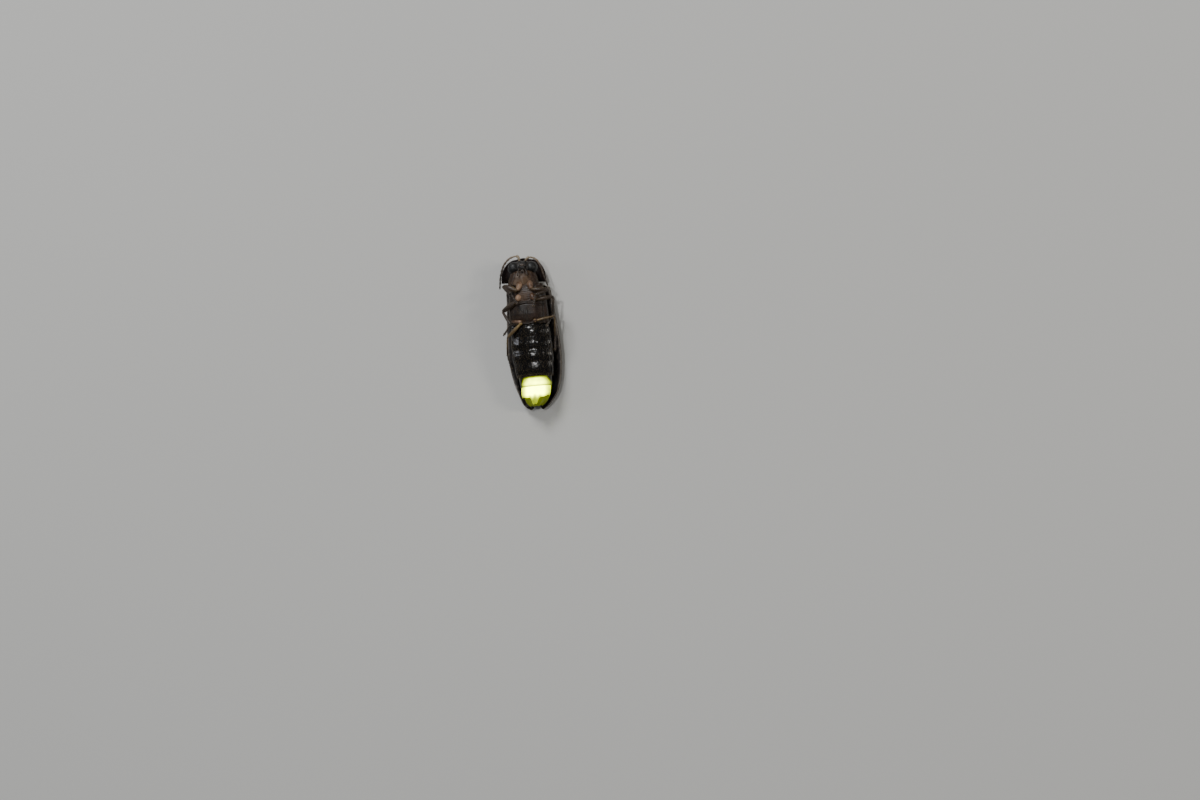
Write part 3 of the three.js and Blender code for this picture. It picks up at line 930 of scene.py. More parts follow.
@dataclass(frozen=True)
class Scutellum:
    """The small three-cornered plate between the bases of the wing cases."""

    front: float = 3.12
    tip: float = 2.68
    half_width: float = 0.3
    thickness: float = 0.3

    def outline(self, turn: Array) -> Array:
        """The edge: a rounded square that narrows to the rear.

        Args:
            turn: Turns from 0 to 2 pi.

        Returns:
            x and y of the edge.
        """
        across = signed_power(np.cos(turn), 0.5)
        back = 0.5 - 0.5 * signed_power(np.sin(turn), 0.5)
        width = self.half_width * mix(1, 0.3, back)
        return np.stack([across * width, mix(self.front, self.tip, back)], -1)

    def build(self) -> None:
        """Makes the piece."""
        rings, _, _ = pillow(
            self.outline, lambda x, y: 0.3 + 0.25 * x**2, lambda share: self.thickness, around=64, steps=20
        )
        build_piece("scutellum_plate", [Surface(rings, 0.15).placed(LIE.body)], Finish.SHIELD, ["scutellum"])


@dataclass(frozen=True)
class Section:
    """A cross-section of the trunk: y, half width, and the heights of its top, widest line and bottom."""

    y: float
    half_width: float
    top: float
    side: float
    bottom: float


Sections = tuple[Section, ...]
Shape = Callable[[Array, Array, Array], Array]
Edge = Callable[[Array], Array]


def blunt_oval(around: int, roundness: float) -> tuple[Array, Array]:
    """The points of a blunt oval: an ellipse at a roundness of 2, and squarer above it.

    Args:
        around: How many there are.
        roundness: The power of its curve.

    Returns:
        How far across and how high each one lies, from -1 to 1.
    """
    turn = np.linspace(0, 2 * np.pi, around, endpoint=False)
    return signed_power(np.cos(turn), 2 / roundness), signed_power(np.sin(turn), 2 / roundness)


def cut(sections: Sections, places: Sequence[float] | Array, at: Array) -> tuple[Array, ...]:
    """Reads the trunk's measures between its sections, where they run straight.

    Args:
        sections: The sections.
        places: How far along each of them is.
        at: How far along to read.

    Returns:
        Half width, top, side and bottom.
    """
    measures = ("half_width", "top", "side", "bottom")
    return tuple(np.interp(at, places, [getattr(section, key) for section in sections]) for key in measures)


def level(across: Array, rise: Array, share: Array) -> Array:
    """A shape of height 0 all over."""
    return 0.0 * across * rise * share


def on_belly(rise: Array) -> Array:
    """1 on the belly, and 0 on the back."""
    return ease(rise, -0.4, 0.2)


def arc(depth: float) -> Edge:
    """A hind edge that lies a depth further forward in the middle than at its sides."""
    return lambda across: depth * (1 - across**2)


@dataclass(frozen=True)
class TrunkRing:
    """A ring of the trunk: its front slips in under the ring before, and its thin hind edge reaches over the
    ring behind, like tiles on a roof.

    Shapes are given by across, from -1 at the insect's right to 1 at its left, by rise, from -1 on its back to
    1 on its belly, and by share, from the front edge to the hind edge. The rear moves the hind edge forward.
    """

    name: str
    node: str
    sections: Sections
    finish: Finish
    seed: int
    relief: Shape = level
    tint: Shape = level
    rear: Edge = arc(0.0)
    roundness: float = 2.4
    tuck: float = 0.1
    overlap: float = 0.06
    step: float = 0.05
    lip: float = 0.016
    hem: float = 0.05
    bulge: float = 0.0
    swell: float = 0.004
    grain: float = 0.0012
    mottle: float = 0.04
    rows: int = 64
    around: int = 176

    def surface(self) -> Surface:
        """The ring's skin: blunt ovals through its sections that grow towards the hind edge, a half round lip,
        and a hem back in under it.

        Returns:
            The skin, not yet in place.
        """
        across, rise = blunt_oval(self.around, self.roundness)
        belly = ease(rise, -0.05, 0.3)
        length = self.sections[0].y - self.sections[-1].y
        end = 1 + self.overlap / length
        tucked = np.linspace(-self.tuck / length, 0, 5)[:-1]
        shell = end * (0.5 - 0.5 * np.cos(np.linspace(0, np.pi, self.rows)))
        bend = np.linspace(0, np.pi, 8)[1:]
        lip = end + self.lip / length * np.sin(bend)
        share = np.concatenate([tucked, shell, lip, [end - self.hem / length]])[:, None]
        inset = [np.zeros(len(tucked) + len(shell)), self.lip * (1 - np.cos(bend)), [self.hem]]
        inset = np.concatenate(inset)[:, None]
        places = np.array([self.sections[0].y - section.y for section in self.sections]) / length
        width, top, side, bottom = cut(self.sections, places, share)
        small = self.step * (1 - ease(share, -0.1, 0.75))
        scale = 1 - small - inset / (top - side)
        x = across * (width * (1 - small / 2) - inset)
        z = side + scale * rise * np.where(rise > 0, top - side, side - bottom)
        y = self.sections[0].y - share * length + self.rear(across) * ease(share, 0.2, 1) * belly
        rings = np.stack([x, y, z], -1)
        tint = self.tint(across, rise, share) + self.mottle * ripple(rings, 0.4, self.seed)
        outside = (share > 0) & (share <= end)
        relief = self.relief(across, rise, share) + self.bulge * np.sin(np.pi * np.clip(share / end, 0, 1))
        relief = relief * belly * (1 - ease(share, end - 0.03, end))
        rough = self.swell * ripple(rings, 0.5, self.seed + 1)
        rough = rough + self.grain * ripple(rings, 0.17, self.seed + 2)
        height = (relief + rough * (1 - ease(share, end - 0.05, end))) * outside
        return Surface(rings, tint).raised(height)

    def build(self, place: Placement) -> Surface:
        """Makes the piece.

        Args:
            place: Puts it in its place.

        Returns:
            Its skin, for the hairs.
        """
        surface = self.surface().placed(place)
        build_piece(self.name, [surface], self.finish, [self.node])
        return surface


@dataclass(frozen=True)
class Breast:
    """The three rings of the thorax, from the belly side: the front breast, and two that carry the wings."""

    front: Sections = (
        Section(3.98, 0.76, 1.73, 1.2, 0.74),
        Section(3.6, 0.9, 1.87, 1.25, 0.72),
        Section(3.16, 1.01, 1.95, 1.3, 0.72),
    )
    middle: Sections = (
        Section(3.08, 1.1, 2.0, 1.45, 0.9),
        Section(2.6, 1.2, 2.1, 1.45, 0.96),
        Section(2.1, 1.24, 2.14, 1.45, 1.02),
    )
    rear: Sections = (
        Section(2.04, 1.27, 2.17, 1.5, 1.02),
        Section(1.3, 1.29, 2.19, 1.5, 1.02),
        Section(0.7, 1.26, 2.14, 1.5, 1.02),
    )

    @staticmethod
    def _front_seam(across: Array, share: Array) -> Array:
        """1 along the seam on each side of the front breast."""
        return hump(np.abs(across) - 0.12 * share, 0.58, 0.02)

    @staticmethod
    def _slant(across: Array, share: Array, width: float) -> Array:
        """1 along the seams that slant in to the rear over the middle breast."""
        return hump(np.abs(across) - 0.3 - 0.3 * (1 - share), 0, width)

    @classmethod
    def _front_relief(cls, across: Array, rise: Array, share: Array) -> Array:
        """A raised front margin, a keel between the fore hips with a hollow on each side, and the seams.

        Args:
            across: From right to left.
            rise: Not used.
            share: From front to rear.

        Returns:
            The heights.
        """
        margin = 0.03 * hump(share, 0.05, 0.035)
        keel = 0.05 * hump(across, 0, 0.1) * ease(share, 0.3, 0.9)
        hollow = 0.05 * hump(np.abs(across), 0.3, 0.16) * ease(share, 0.45, 0.95)
        seam = 0.035 * cls._front_seam(across, share) * ease(share, 0.06, 0.14)
        return margin + keel - hollow - seam

    @classmethod
    def _front_tint(cls, across: Array, rise: Array, share: Array) -> Array:
        """Pale in the middle, darker at the sides and along the seams."""
        middle = 0.5 * (1 - ease(np.abs(across + 0.04), 0.3, 1.0))
        return (0.4 + middle - 0.2 * cls._front_seam(across, share)) * on_belly(rise)

    @classmethod
    def _middle_relief(cls, across: Array, rise: Array, share: Array) -> Array:
        """A keel at the rear, wrinkles that run across, the slanting seams, and a cross seam on each side.

        Args:
            across: From right to left.
            rise: Not used.
            share: From front to rear.

        Returns:
            The heights.
        """
        cross = hump(share - 0.2 * np.abs(across), 0.42, 0.025) * ease(np.abs(across), 0.5, 0.6)
        keel = 0.03 * hump(across, 0, 0.1) * ease(share, 0.4, 0.8) * (1 - ease(share, 0.85, 0.98))
        course = share + 0.6 * across**2 + 0.02 * np.sin(7 * across + 11 * share)
        wrinkles = 0.006 * np.sin(2 * np.pi * course / 0.13) * (1 - ease(np.abs(across), 0.3, 0.45))
        return keel + wrinkles - 0.045 * cls._slant(across, share, 0.022) - 0.03 * cross

    @classmethod
    def _middle_tint(cls, across: Array, rise: Array, share: Array) -> Array:
        """Brown between the hips, and darker at the sides and along the slanting seams."""
        middle = 0.24 * (1 - ease(np.abs(across), 0.3, 0.9))
        return (0.38 + middle - 0.25 * cls._slant(across, share, 0.03)) * on_belly(rise)

    @staticmethod
    def _rear_relief(across: Array, rise: Array, share: Array) -> Array:
        """The big breast plate: a soft swelling on each side and a low fold beside its middle, a fine line
        down the middle, a seam before each side strip, a dip to the hind hips, and a groove near the front.

        Args:
            across: From right to left.
            rise: Not used.
            share: From front to rear.

        Returns:
            The heights.
        """
        groove = 0.03 * hump(across, 0, 0.018) * ease(share, 0.15, 0.4)
        seam = 0.05 * hump(np.abs(across) + 0.1 * share, 0.87, 0.018)
        swell = 0.03 * hump(np.abs(across), 0.4, 0.3) * np.sin(np.pi * np.clip(share, 0, 1))
        swell = swell + 0.018 * hump(across + 0.12 * share, -0.02, 0.045) * hump(share, 0.45, 0.3)
        dip = 0.05 * hump(np.abs(across), 0.32, 0.25) * ease(share, 0.78, 1.0)
        front = 0.03 * hump(share - 0.14 * np.abs(across), 0.06, 0.03)
        return swell - groove - seam - dip - front

    @staticmethod
    def _rear_tint(across: Array, rise: Array, share: Array) -> Array:
        """Dark brown, with a paler patch on the insect's left half, paler side strips and dark lines.

        Args:
            across: From right to left.
            rise: From back to belly.
            share: From front to rear.

        Returns:
            The tints.
        """
        patch = 0.24 * hump(across, 0.42, 0.25) * hump(share, 0.6, 0.4)
        strip = 0.16 * ease(np.abs(across) + 0.1 * share, 0.88, 0.92)
        lines = 0.12 * hump(across, 0, 0.025) + 0.2 * hump(np.abs(across) + 0.1 * share, 0.87, 0.025)
        return (0.24 + patch + strip - lines) * on_belly(rise)

    def build(self) -> list[Surface]:
        """Makes the three pieces.

        Returns:
            Their skins, for the hairs.
        """
        front = TrunkRing("front_breast", "prothorax", self.front, Finish.BREAST, 21, self._front_relief,
                          self._front_tint, step=0.0, tuck=0.02)
        middle = TrunkRing("middle_breast", "mesothorax", self.middle, Finish.BREAST, 23, self._middle_relief,
                           self._middle_tint, step=0.04)
        rear = TrunkRing("rear_breast", "metathorax", self.rear, Finish.BREAST, 25, self._rear_relief,
                         self._rear_tint, step=0.02, rear=lambda across: 0.07 * hump(np.abs(across), 0.3, 0.3))
        return [front.build(LIE.fore), middle.build(LIE.body), rear.build(LIE.body)]


@dataclass(frozen=True)
class Belly:
    """The belly: four dark glossy rings, two lit ones, and the tail plate that shows past the last."""

    dark: tuple[Sections, ...] = (
        (Section(0.64, 1.22, 2.07, 1.5, 1.04), Section(-0.1, 1.31, 2.12, 1.48, 1.03)),
        (Section(-0.14, 1.31, 2.1, 1.48, 1.03), Section(-0.93, 1.35, 2.11, 1.46, 1.02)),
        (Section(-0.97, 1.34, 2.09, 1.46, 1.02), Section(-1.78, 1.33, 2.05, 1.43, 1.02)),
        (Section(-1.82, 1.31, 2.03, 1.43, 1.02), Section(-2.68, 1.2, 1.93, 1.38, 1.02)),
    )
    lit: Sections = (Section(-2.72, 1.12, 1.89, 1.36, 1.02), Section(-3.33, 1.02, 1.8, 1.32, 1.04))
    last: Sections = (
        Section(-3.37, 0.98, 1.77, 1.34, 1.14),
        Section(-3.6, 0.97, 1.74, 1.34, 1.14),
        Section(-3.85, 0.945, 1.68, 1.33, 1.145),
        Section(-4.0, 0.915, 1.63, 1.325, 1.15),
        Section(-4.06, 0.89, 1.6, 1.32, 1.15),
    )
    tail: Sections = (
        Section(-3.5, 0.9, 1.09, 0.95, 0.78),
        Section(-3.9, 0.87, 1.1, 0.96, 0.8),
        Section(-4.15, 0.81, 1.1, 0.97, 0.81),
        Section(-4.36, 0.71, 1.1, 0.98, 0.83),
        Section(-4.5, 0.6, 1.1, 1.0, 0.86),
        Section(-4.59, 0.5, 1.1, 1.01, 0.89),
        Section(-4.66, 0.38, 1.09, 1.02, 0.93),
    )

    @staticmethod
    def _ring_relief(across: Array, rise: Array, share: Array) -> Array:
        """A ledge along each side, low keels down the middle and beside it, a hollow within the ledge, and
        the breathing hole beyond it.

        Args:
            across: From right to left.
            rise: From back to belly.
            share: From front to rear.

        Returns:
            The heights.
        """
        keel = 0.014 * hump(across, 0.02, 0.05) + 0.011 * hump(np.abs(across), 0.56, 0.045)
        ledge = 0.02 * hump(np.abs(across), 0.83, 0.025) - 0.03 * hump(np.abs(across), 0.88, 0.03)
        hollow = 0.014 * hump(np.abs(across), 0.6, 0.14) * hump(share, 0.45, 0.3)
        pore = 0.03 * hump(rise, 0.3, 0.03) * hump(share, 0.4, 0.05)
        return ledge + keel * (1 - 0.6 * hump(share, 0.1, 0.2)) - hollow - pore

    @staticmethod
    def _ring_tint(across: Array, rise: Array, share: Array) -> Array:
        """Black-brown, a little browner past the ledge and along the hind edge."""
        edge = 0.28 * ease(share, 0.97, 1.04)
        return 0.1 + (0.3 * ease(np.abs(across), 0.84, 0.92) + edge) * ease(rise, -0.5, 0)

    @staticmethod
    def _glow(across: Array, rise: Array, share: Array) -> Array:
        """How brightly the first lit ring glows: most in the middle, fading to its sides and front corners.

        Args:
            across: From right to left.
            rise: From back to belly.
            share: From front to rear.

        Returns:
            The tints.
        """
        reach = np.abs(across - 0.06) + 0.26 * (1 - ease(share, -0.1, 0.9))
        side = (1 - 0.6 * ease(reach, 0.5, 0.95)) * (1 - ease(reach, 0.84, 1.0))
        core = 0.74 + 0.07 * hump(across, 0.05, 0.4) + 0.06 * hump(share, 0.75, 0.2)
        joint = 1 - 0.3 * ease(share, 0.96, 1.02)
        return core * side * joint * ease(share, -0.06, 0.3) * ease(rise, -0.45, -0.05)

    @staticmethod
    def _last_glow(across: Array, rise: Array, share: Array) -> Array:
        """The same for the last ring, which is lit up to its front edge and fades to its point.

        Args:
            across: From right to left.
            rise: From back to belly.
            share: From front to rear.

        Returns:
            The tints.
        """
        length = 1 + 0.75 * hump(across, 0, 0.3)
        fade = 1 - 0.72 * ease(share * length + 0.05 * np.abs(across) ** 3, 0.72, 1.3)
        side = 1 - 0.5 * ease(np.abs(across - 0.03), 0.5, 1.0)
        return fade * side * ease(rise, -0.45, -0.05)

    @staticmethod
    def _last_edge(across: Array) -> Array:
        """The last ring's hind edge: corners cut back, and a broad point in the middle with a small notch."""
        point = 0.52 * np.exp(-np.abs(across / 0.26) ** 3.0) - 0.12 * hump(across, 0, 0.085)
        return 0.1 * np.abs(across) ** 6 - point

    @staticmethod
    def _tail_tint(across: Array, rise: Array, share: Array) -> Array:
        """The tail plate's painted glow: brightest at the front, where it lies on the last lit ring."""
        return (0.45 - 0.15 * ease(share, 0.3, 1.0)) * on_belly(rise)

    @staticmethod
    def _tail_edge(across: Array) -> Array:
        """The tail plate's hind edge: corners cut back, and a slight bay in the middle."""
        return 0.12 * np.abs(across) ** 3 + 0.03 * hump(across, 0, 0.3)

    def build(self) -> list[Surface]:
        """Makes the pieces.

        Returns:
            The skins that grow hair: the dark rings and the tail plate.
        """
        skins = []
        for number, sections in enumerate(self.dark, start=2):
            ring = TrunkRing(
                f"belly_ring_{number}", f"abdomen_segment_{number}", sections, Finish.BELLY, 30 + number,
                self._ring_relief, self._ring_tint, arc(0.05), roundness=1.92, bulge=0.04, grain=0.0046,
            )
            skins.append(ring.build(LIE.body))
        TrunkRing(
            "lantern_ring_6", "lantern_segment_6", self.lit, Finish.LANTERN, 41, tint=self._glow,
            rear=arc(0.04),
        ).build(LIE.body)
        TrunkRing(
            "lantern_ring_7", "lantern_segment_7", self.last, Finish.LANTERN, 43, tint=self._last_glow,
            rear=self._last_edge, roundness=2.7, step=0.03, overlap=0.0, rows=90,
        ).build(LIE.tail)
        # The tail plate's tint drives a faint painted glow, brightest next to the last lit ring.
        tail = TrunkRing(
            "tail_shell", "tail_plate", self.tail, Finish.TAIL, 45, tint=self._tail_tint, rear=self._tail_edge,
            roundness=2.6, tuck=0.04, step=0.0, overlap=0.0,
        )
        return [*skins, tail.build(LIE.tail)]


@dataclass(frozen=True)
class SoftSkin:
    """The soft skin that joins the plates: a wrinkled tube through the whole trunk, just inside it, from the
    neck to the lantern."""

    sections: Sections = (
        Section(4.3, 0.4, 1.6, 1.3, 1.0),
        Section(3.9, 0.68, 1.66, 1.2, 0.8),
        Section(3.1, 0.9, 1.84, 1.35, 0.86),
        Section(2.1, 1.08, 2.0, 1.45, 1.08),
        Section(0.65, 1.1, 2.0, 1.5, 1.08),
        Section(-1.0, 1.18, 1.96, 1.46, 1.08),
        Section(-2.7, 1.02, 1.78, 1.36, 1.08),
        Section(-3.9, 0.72, 1.5, 1.28, 1.18),
    )
    roundness: float = 2.4
    wrinkle: float = 0.07
    wrinkle_height: float = 0.012

    def build(self) -> None:
        """Makes the piece: blunt ovals through the sections."""
        across, rise = blunt_oval(72, self.roundness)
        y = np.linspace(self.sections[0].y, self.sections[-1].y, 120)[:, None]
        width, top, side, bottom = cut(self.sections, [-section.y for section in self.sections], -y)
        z = side + rise * np.where(rise > 0, top - side, side - bottom)
        rings = np.stack([across * width, y + 0 * across, z], -1)
        wrinkles = self.wrinkle_height * np.sin(rings[..., 1] * 2 * np.pi / self.wrinkle)
        build_piece("soft_skin", [Surface(rings, 0.4).raised(wrinkles).placed(LIE.neck_skin)], Finish.SKIN)


@dataclass(frozen=True)
class Eye:
    """A big round eye of domed lenses, six around each. Real ones are 0.025 mm across, too fine to show, so
    these are drawn coarser."""

    side: Side
    centre: Point = (0.56, 4.2, 1.34)
    axis: Point = (0.86, 0.26, 0.44)
    radius: float = 0.41
    lens: float = 0.036
    dome: float = 0.0035
    # In degrees from the pole: where the lenses fade out, and where the ball ends.
    bare: tuple[float, float] = (100.0, 112.0)
    extent: float = 125.0
    rings: int = 130
    around: int = 360

    def surface(self) -> Surface:
        """A ball in rings about an axis that points out, forward and down the face. On each lens of a
        six-sided pattern, laid flat from that pole, the skin rises as a low dome.

        Returns:
            The skin, not yet in place.
        """
        axis = unit(self.side.mirrored(self.axis))
        first = unit(np.cross(axis, [0, 1, 0]))
        second = np.cross(axis, first)
        tilt = np.linspace(0.004, np.radians(self.extent), self.rings)[:, None]
        turn = np.linspace(0, 2 * np.pi, self.around, endpoint=False)
        a = self.radius * tilt * np.cos(turn) / self.lens
        b = self.radius * tilt * np.sin(turn) / self.lens
        row = math.sqrt(3)
        even = np.hypot(a - np.round(a), b - np.round(b / row) * row)
        odd = np.hypot(a - np.floor(a) - 0.5, b - (np.floor(b / row) + 0.5) * row)
        dome = self.dome * (1 - (np.minimum(even, odd) * row) ** 2)
        rim = 1 - ease(tilt, *np.radians(self.bare))
        reach = (self.radius - self.dome + dome * rim)[..., None]
        around = np.cos(turn)[:, None] * first + np.sin(turn)[:, None] * second
        way = np.cos(tilt)[..., None] * axis + np.sin(tilt)[..., None] * around
        tint = 0.1 + 0.3 * hump(tilt, np.radians(105), 0.12)
        return Surface(self.side.mirrored(self.centre) + reach * way, tint)

    def build(self) -> None:
        """Makes the piece."""
        surface = self.surface().placed(LIE.fore)
        build_piece(f"eye_dome_{self.side.word}", [surface], Finish.EYE, [f"eye_{self.side.word}"])


Egg = tuple[Point, Point]


def ball(centre: Point, half: Point, rows: int = 60, around: int = 90, boxy: float = 1.0) -> Array:
    """Rings of an egg about the Y axis, from its front pole to its rear one.

    Args:
        centre: Its middle.
        half: Its half sizes.
        rows: Rings.
        around: Points in a ring.
        boxy: 1 for an egg, less for a rounded box.

    Returns:
        The rings.
    """
    tilt = np.linspace(0.01, np.pi - 0.01, rows)[:, None]
    turn = np.linspace(0, 2 * np.pi, around, endpoint=False)
    wide = signed_power(np.sin(tilt), boxy)
    x = wide * signed_power(np.cos(turn), boxy)
    z = wide * signed_power(np.sin(turn), boxy)
    y = signed_power(np.cos(tilt), boxy) + 0 * turn
    return np.array(centre) + np.stack([x, y, z], -1) * np.array(half)


def beads(
    path: Array, bounds: Sequence[float], widths: Sequence[float], waist: float, point: float = 0.03,
    flatness: float = 1.0, around: int = 22,
) -> Array:
    """A jointed limb along a path: each joint widens from a narrow root and is drawn in at its tip.

    Args:
        path: Places along the middle, in even steps.
        bounds: Shares of the length where the joints begin and end.
        widths: Each joint's radius.
        waist: A joint's root as a share of its radius.
        point: The share of the length over which the end is rounded off.
        flatness: The section's half height as a share of its half width.
        around: Points in a ring.

    Returns:
        The rings.
    """
    share = np.linspace(0, 1, len(path))
    joint = np.clip(np.searchsorted(bounds, share, side="right") - 1, 0, len(widths) - 1)
    low, high = np.take(bounds, joint), np.take(bounds, joint + 1)
    local = (share - low) / (high - low)
    shape = mix(waist, 1.0, ease(local, 0.0, 0.75)) * (1 - (1 - waist) * ease(local, 0.9, 1.0) ** 2)
    return sweep(path, np.take(widths, joint) * shape * rounded_ends(share, 0.02, point), around, flatness)


@dataclass(frozen=True)
class Head:
    """The head from below: skull between the eyes, a short snout with crossed jaws, and two pairs of palps.

    An egg is given by its middle and its half sizes, and a palp, a jaw or a socket by its course on the left.
    """

    skull: Egg = ((0.0, 4.18, 1.3), (0.66, 0.5, 0.46))
    snout: Egg = ((0.0, 4.2, 1.62), (0.24, 0.27, 0.3))
    plate: Egg = ((0.0, 4.39, 1.76), (0.17, 0.1, 0.12))
    lip: Egg = ((0.0, 4.37, 1.91), (0.115, 0.055, 0.045))
    chin: Egg = ((0.0, 4.02, 1.84), (0.1, 0.1, 0.06))
    bar: Egg = ((0.0, 3.9, 1.72), (0.15, 0.13, 0.05))
    palp: tuple[Point, ...] = ((0.16, 4.12, 1.82), (0.24, 4.0, 1.97), (0.28, 3.86, 2.03), (0.31, 3.68, 2.0))
    short_palp: tuple[Point, ...] = ((0.06, 4.03, 1.88), (0.11, 3.94, 1.96), (0.12, 3.84, 1.98))
    jaw: tuple[Point, ...] = (
        (0.19, 4.26, 1.8), (0.21, 4.3, 1.91), (0.12, 4.28, 1.98), (0.0, 4.19, 2.0), (-0.05, 4.14, 1.99)
    )
    jaw_gap: float = 0.012
    socket: tuple[Point, ...] = ((0.16, 4.53, 1.43), (0.17, 4.67, 1.45))
    socket_radius: float = 0.11

    def _skull(self) -> Surface:
        """The skull: an egg with a brow that swells over the feelers' roots, a dimple between the eyes, and a
        line down the throat.

        Returns:
            Its skin.
        """
        rings = ball(*self.skull)
        x, y, z = np.moveaxis(rings, -1, 0)
        brow = 0.05 * hump(np.abs(x), 0.17, 0.1) * hump(y, 4.6, 0.12) * hump(z, 1.42, 0.2)
        dimple = 0.05 * hump(x, 0, 0.1) * hump(y, 4.62, 0.15)
        throat = 0.03 * hump(x, 0, 0.03) * hump(y, 3.8, 0.2) * ease(z, 1.3, 1.6)
        tint = 0.2 + 0.4 * hump(y, 3.8, 0.18) * ease(z, 1.35, 1.6)
        return Surface(rings, tint).raised(brow - dimple - throat)

    def _snout(self) -> list[Surface]:
        """The snout, the face plate before it, the notched upper lip, and the two chin plates behind the jaws.

        Returns:
            Their skins.
        """
        cone = ball(*self.snout, rows=50, around=70, boxy=0.85)
        plate = ball(*self.plate, 40, 50, boxy=0.8)
        lip = ball(*self.lip, 30, 40, boxy=0.75)
        chin, bar = (ball(*egg, 30, 40, boxy=0.7) for egg in (self.chin, self.bar))
        notch = 0.02 * hump(lip[..., 0], 0, 0.035) * ease(lip[..., 1], 4.36, 4.42)
        lip_skin = Surface(lip, 0.85).raised(-notch)
        return [Surface(cone, 0.3), Surface(plate, 0.5), lip_skin, Surface(chin, 0.8), Surface(bar, 0.55)]

    def _mouthparts(self, side: Side) -> list[Surface]:
        """A jaw, a long palp of four joints and a short one of three, and the socket of the feeler.

        Args:
            side: The side that they are on.

        Returns:
            Their skins.
        """
        hook = smooth_path(side.mirrored(self.jaw), 60) + [0, 0, self.jaw_gap * side.value]
        share = np.linspace(0, 1, 60)
        jaw = sweep(hook, mix(0.065, 0.008, share**1.2) * rounded_ends(share, 0.2, 0.03), 24, 0.7)
        long_path = smooth_path(side.mirrored(self.palp), 110)
        long_palp = beads(long_path, (0, 0.12, 0.34, 0.52, 1), (0.045, 0.058, 0.058, 0.075), 0.7, 0.26, 0.8)
        short_path = smooth_path(side.mirrored(self.short_palp), 60)
        short_palp = beads(short_path, (0, 0.25, 0.55, 1), (0.026, 0.034, 0.045), 0.7, 0.2, 0.8)
        root = smooth_path(side.mirrored(self.socket), 16)
        socket = sweep(root, self.socket_radius * rounded_ends(np.linspace(0, 1, 16), 0.3, 0.5), 32)
        return [Surface(jaw, 0.38), Surface(long_palp, 0.72), Surface(short_palp, 0.85), Surface(socket, 0.4)]

    def build(self) -> list[Surface]:
        """Makes the head and both eyes.

        Returns:
            The skins that grow hair: the skull, the snout, its face plate and upper lip, and the long palps.
        """
        skull = self._skull().placed(LIE.fore)
        parts = [part.placed(LIE.fore) for part in self._snout()]
        mouth = [[part.placed(LIE.fore) for part in self._mouthparts(side)] for side in Side]
        build_piece("head_horn", [skull, *parts, *mouth[0], *mouth[1]], Finish.HEAD, ["head"])
        for side in Side:
            Eye(side).build()
        return [skull, *parts[:3], mouth[0][1], mouth[1][1]]


@dataclass(frozen=True)
class Feeler:
    """A thread-like feeler of eleven joints that runs past the front of the shield and back along its side.

    Both courses are given as they would lie on the left.
    """

    side: Side
    left_course: tuple[Point, ...] = (
        (0.17, 4.64, 1.45), (0.46, 4.86, 1.46), (0.9, 4.7, 1.5),
        (1.18, 4.22, 1.6), (1.39, 3.55, 1.66), (1.58, 2.96, 1.6),
    )
    right_course: tuple[Point, ...] = (
        (0.17, 4.64, 1.45), (0.3, 4.96, 1.42), (0.78, 4.86, 1.36),
        (1.2, 4.44, 1.33), (1.45, 3.75, 1.3), (1.56, 2.9, 1.14),
    )
    radius: float = 0.068
    lengths: tuple[float, ...] = (1.6, 0.6, 1, 1, 1, 1, 1, 1, 1, 1, 1.15)
    widths: tuple[float, ...] = (1.2, 0.85, 0.95, 1, 1, 1, 0.98, 0.94, 0.9, 0.86, 0.8)

    def build(self) -> Surface:
        """Makes the piece, pale at its root.

        Returns:
            Its skin, for the hairs.
        """
        course = self.left_course if self.side is Side.LEFT else self.right_course
        path = smooth_path(self.side.mirrored(course), 330)
        bounds = np.concatenate([[0], np.cumsum(self.lengths) / np.sum(self.lengths)])
        rings = beads(path, bounds, self.radius * np.array(self.widths), 0.74, 0.06, 0.85)
        share = np.linspace(0, 1, len(path))[:, None]
        skin = Surface(rings, mix(0.82, 0.02, ease(share, 0.08, 0.75))).placed(LIE.fore)
        nodes = [f"feeler_{self.side.word}_{length}" for length in ("base", "middle", "tip")]
        build_piece(f"feeler_thread_{self.side.word}", [skin], Finish.FEELER, nodes)
        return skin


@dataclass(frozen=True)
class Stance:
    """How one leg is held: [yaw, pitch] of thigh, shin and foot in degrees, yaw from straight out towards the
    head and pitch above the floor."""

    thigh: tuple[float, float]
    shin: tuple[float, float]
    foot: tuple[float, float]


@dataclass(frozen=True)
class LegPair:
    """A pair of legs: where it leaves the body, its lengths, and how each leg is held."""

    name: str
    hip: Point
    trochanter: Point
    hip_radii: tuple[float, ...]
    lengths: tuple[float, float, float]
    right: Stance
    left: Stance
    lightness: float = -0.14
    girth: float = 1.2


LEG_PAIRS = (
    LegPair(
        "fore", (0.29, 3.38, 1.66), (0.44, 2.84, 2.2), (0.14, 0.23, 0.24, 0.2, 0.08), (1.12, 1.0, 0.85),
        Stance((20, -14), (-138, 32), (-118, 4)), Stance((-6, -16), (-160, 34), (-104, 4)), 0.0, 1.4,
    ),
    LegPair(
        "middle", (0.36, 2.54, 1.82), (0.58, 2.16, 2.2), (0.14, 0.23, 0.24, 0.19, 0.08), (1.25, 1.15, 1.0),
        Stance((-28, -16), (-122, 23), (-46, -18)), Stance((4, -14), (-98, -8), (-122, 14)),
    ),
    LegPair(
        "hind", (1.1, 0.92, 1.86), (0.34, 0.8, 2.14), (0.09, 0.13, 0.15, 0.12), (1.45, 1.4, 1.05),
        Stance((-39, -5), (-77, -34), (-100, -6)), Stance((8, -9), (-99, -24), (-98, -4)), 0.28, 0.74,
    ),
)


def bearings(root: Array, tip: Array) -> tuple[Array, Array]:
    """The direction of a limb, and the level direction square to it."""
    way = unit(tip - root)
    return way, unit(np.cross(way, [0, 0, 1]))


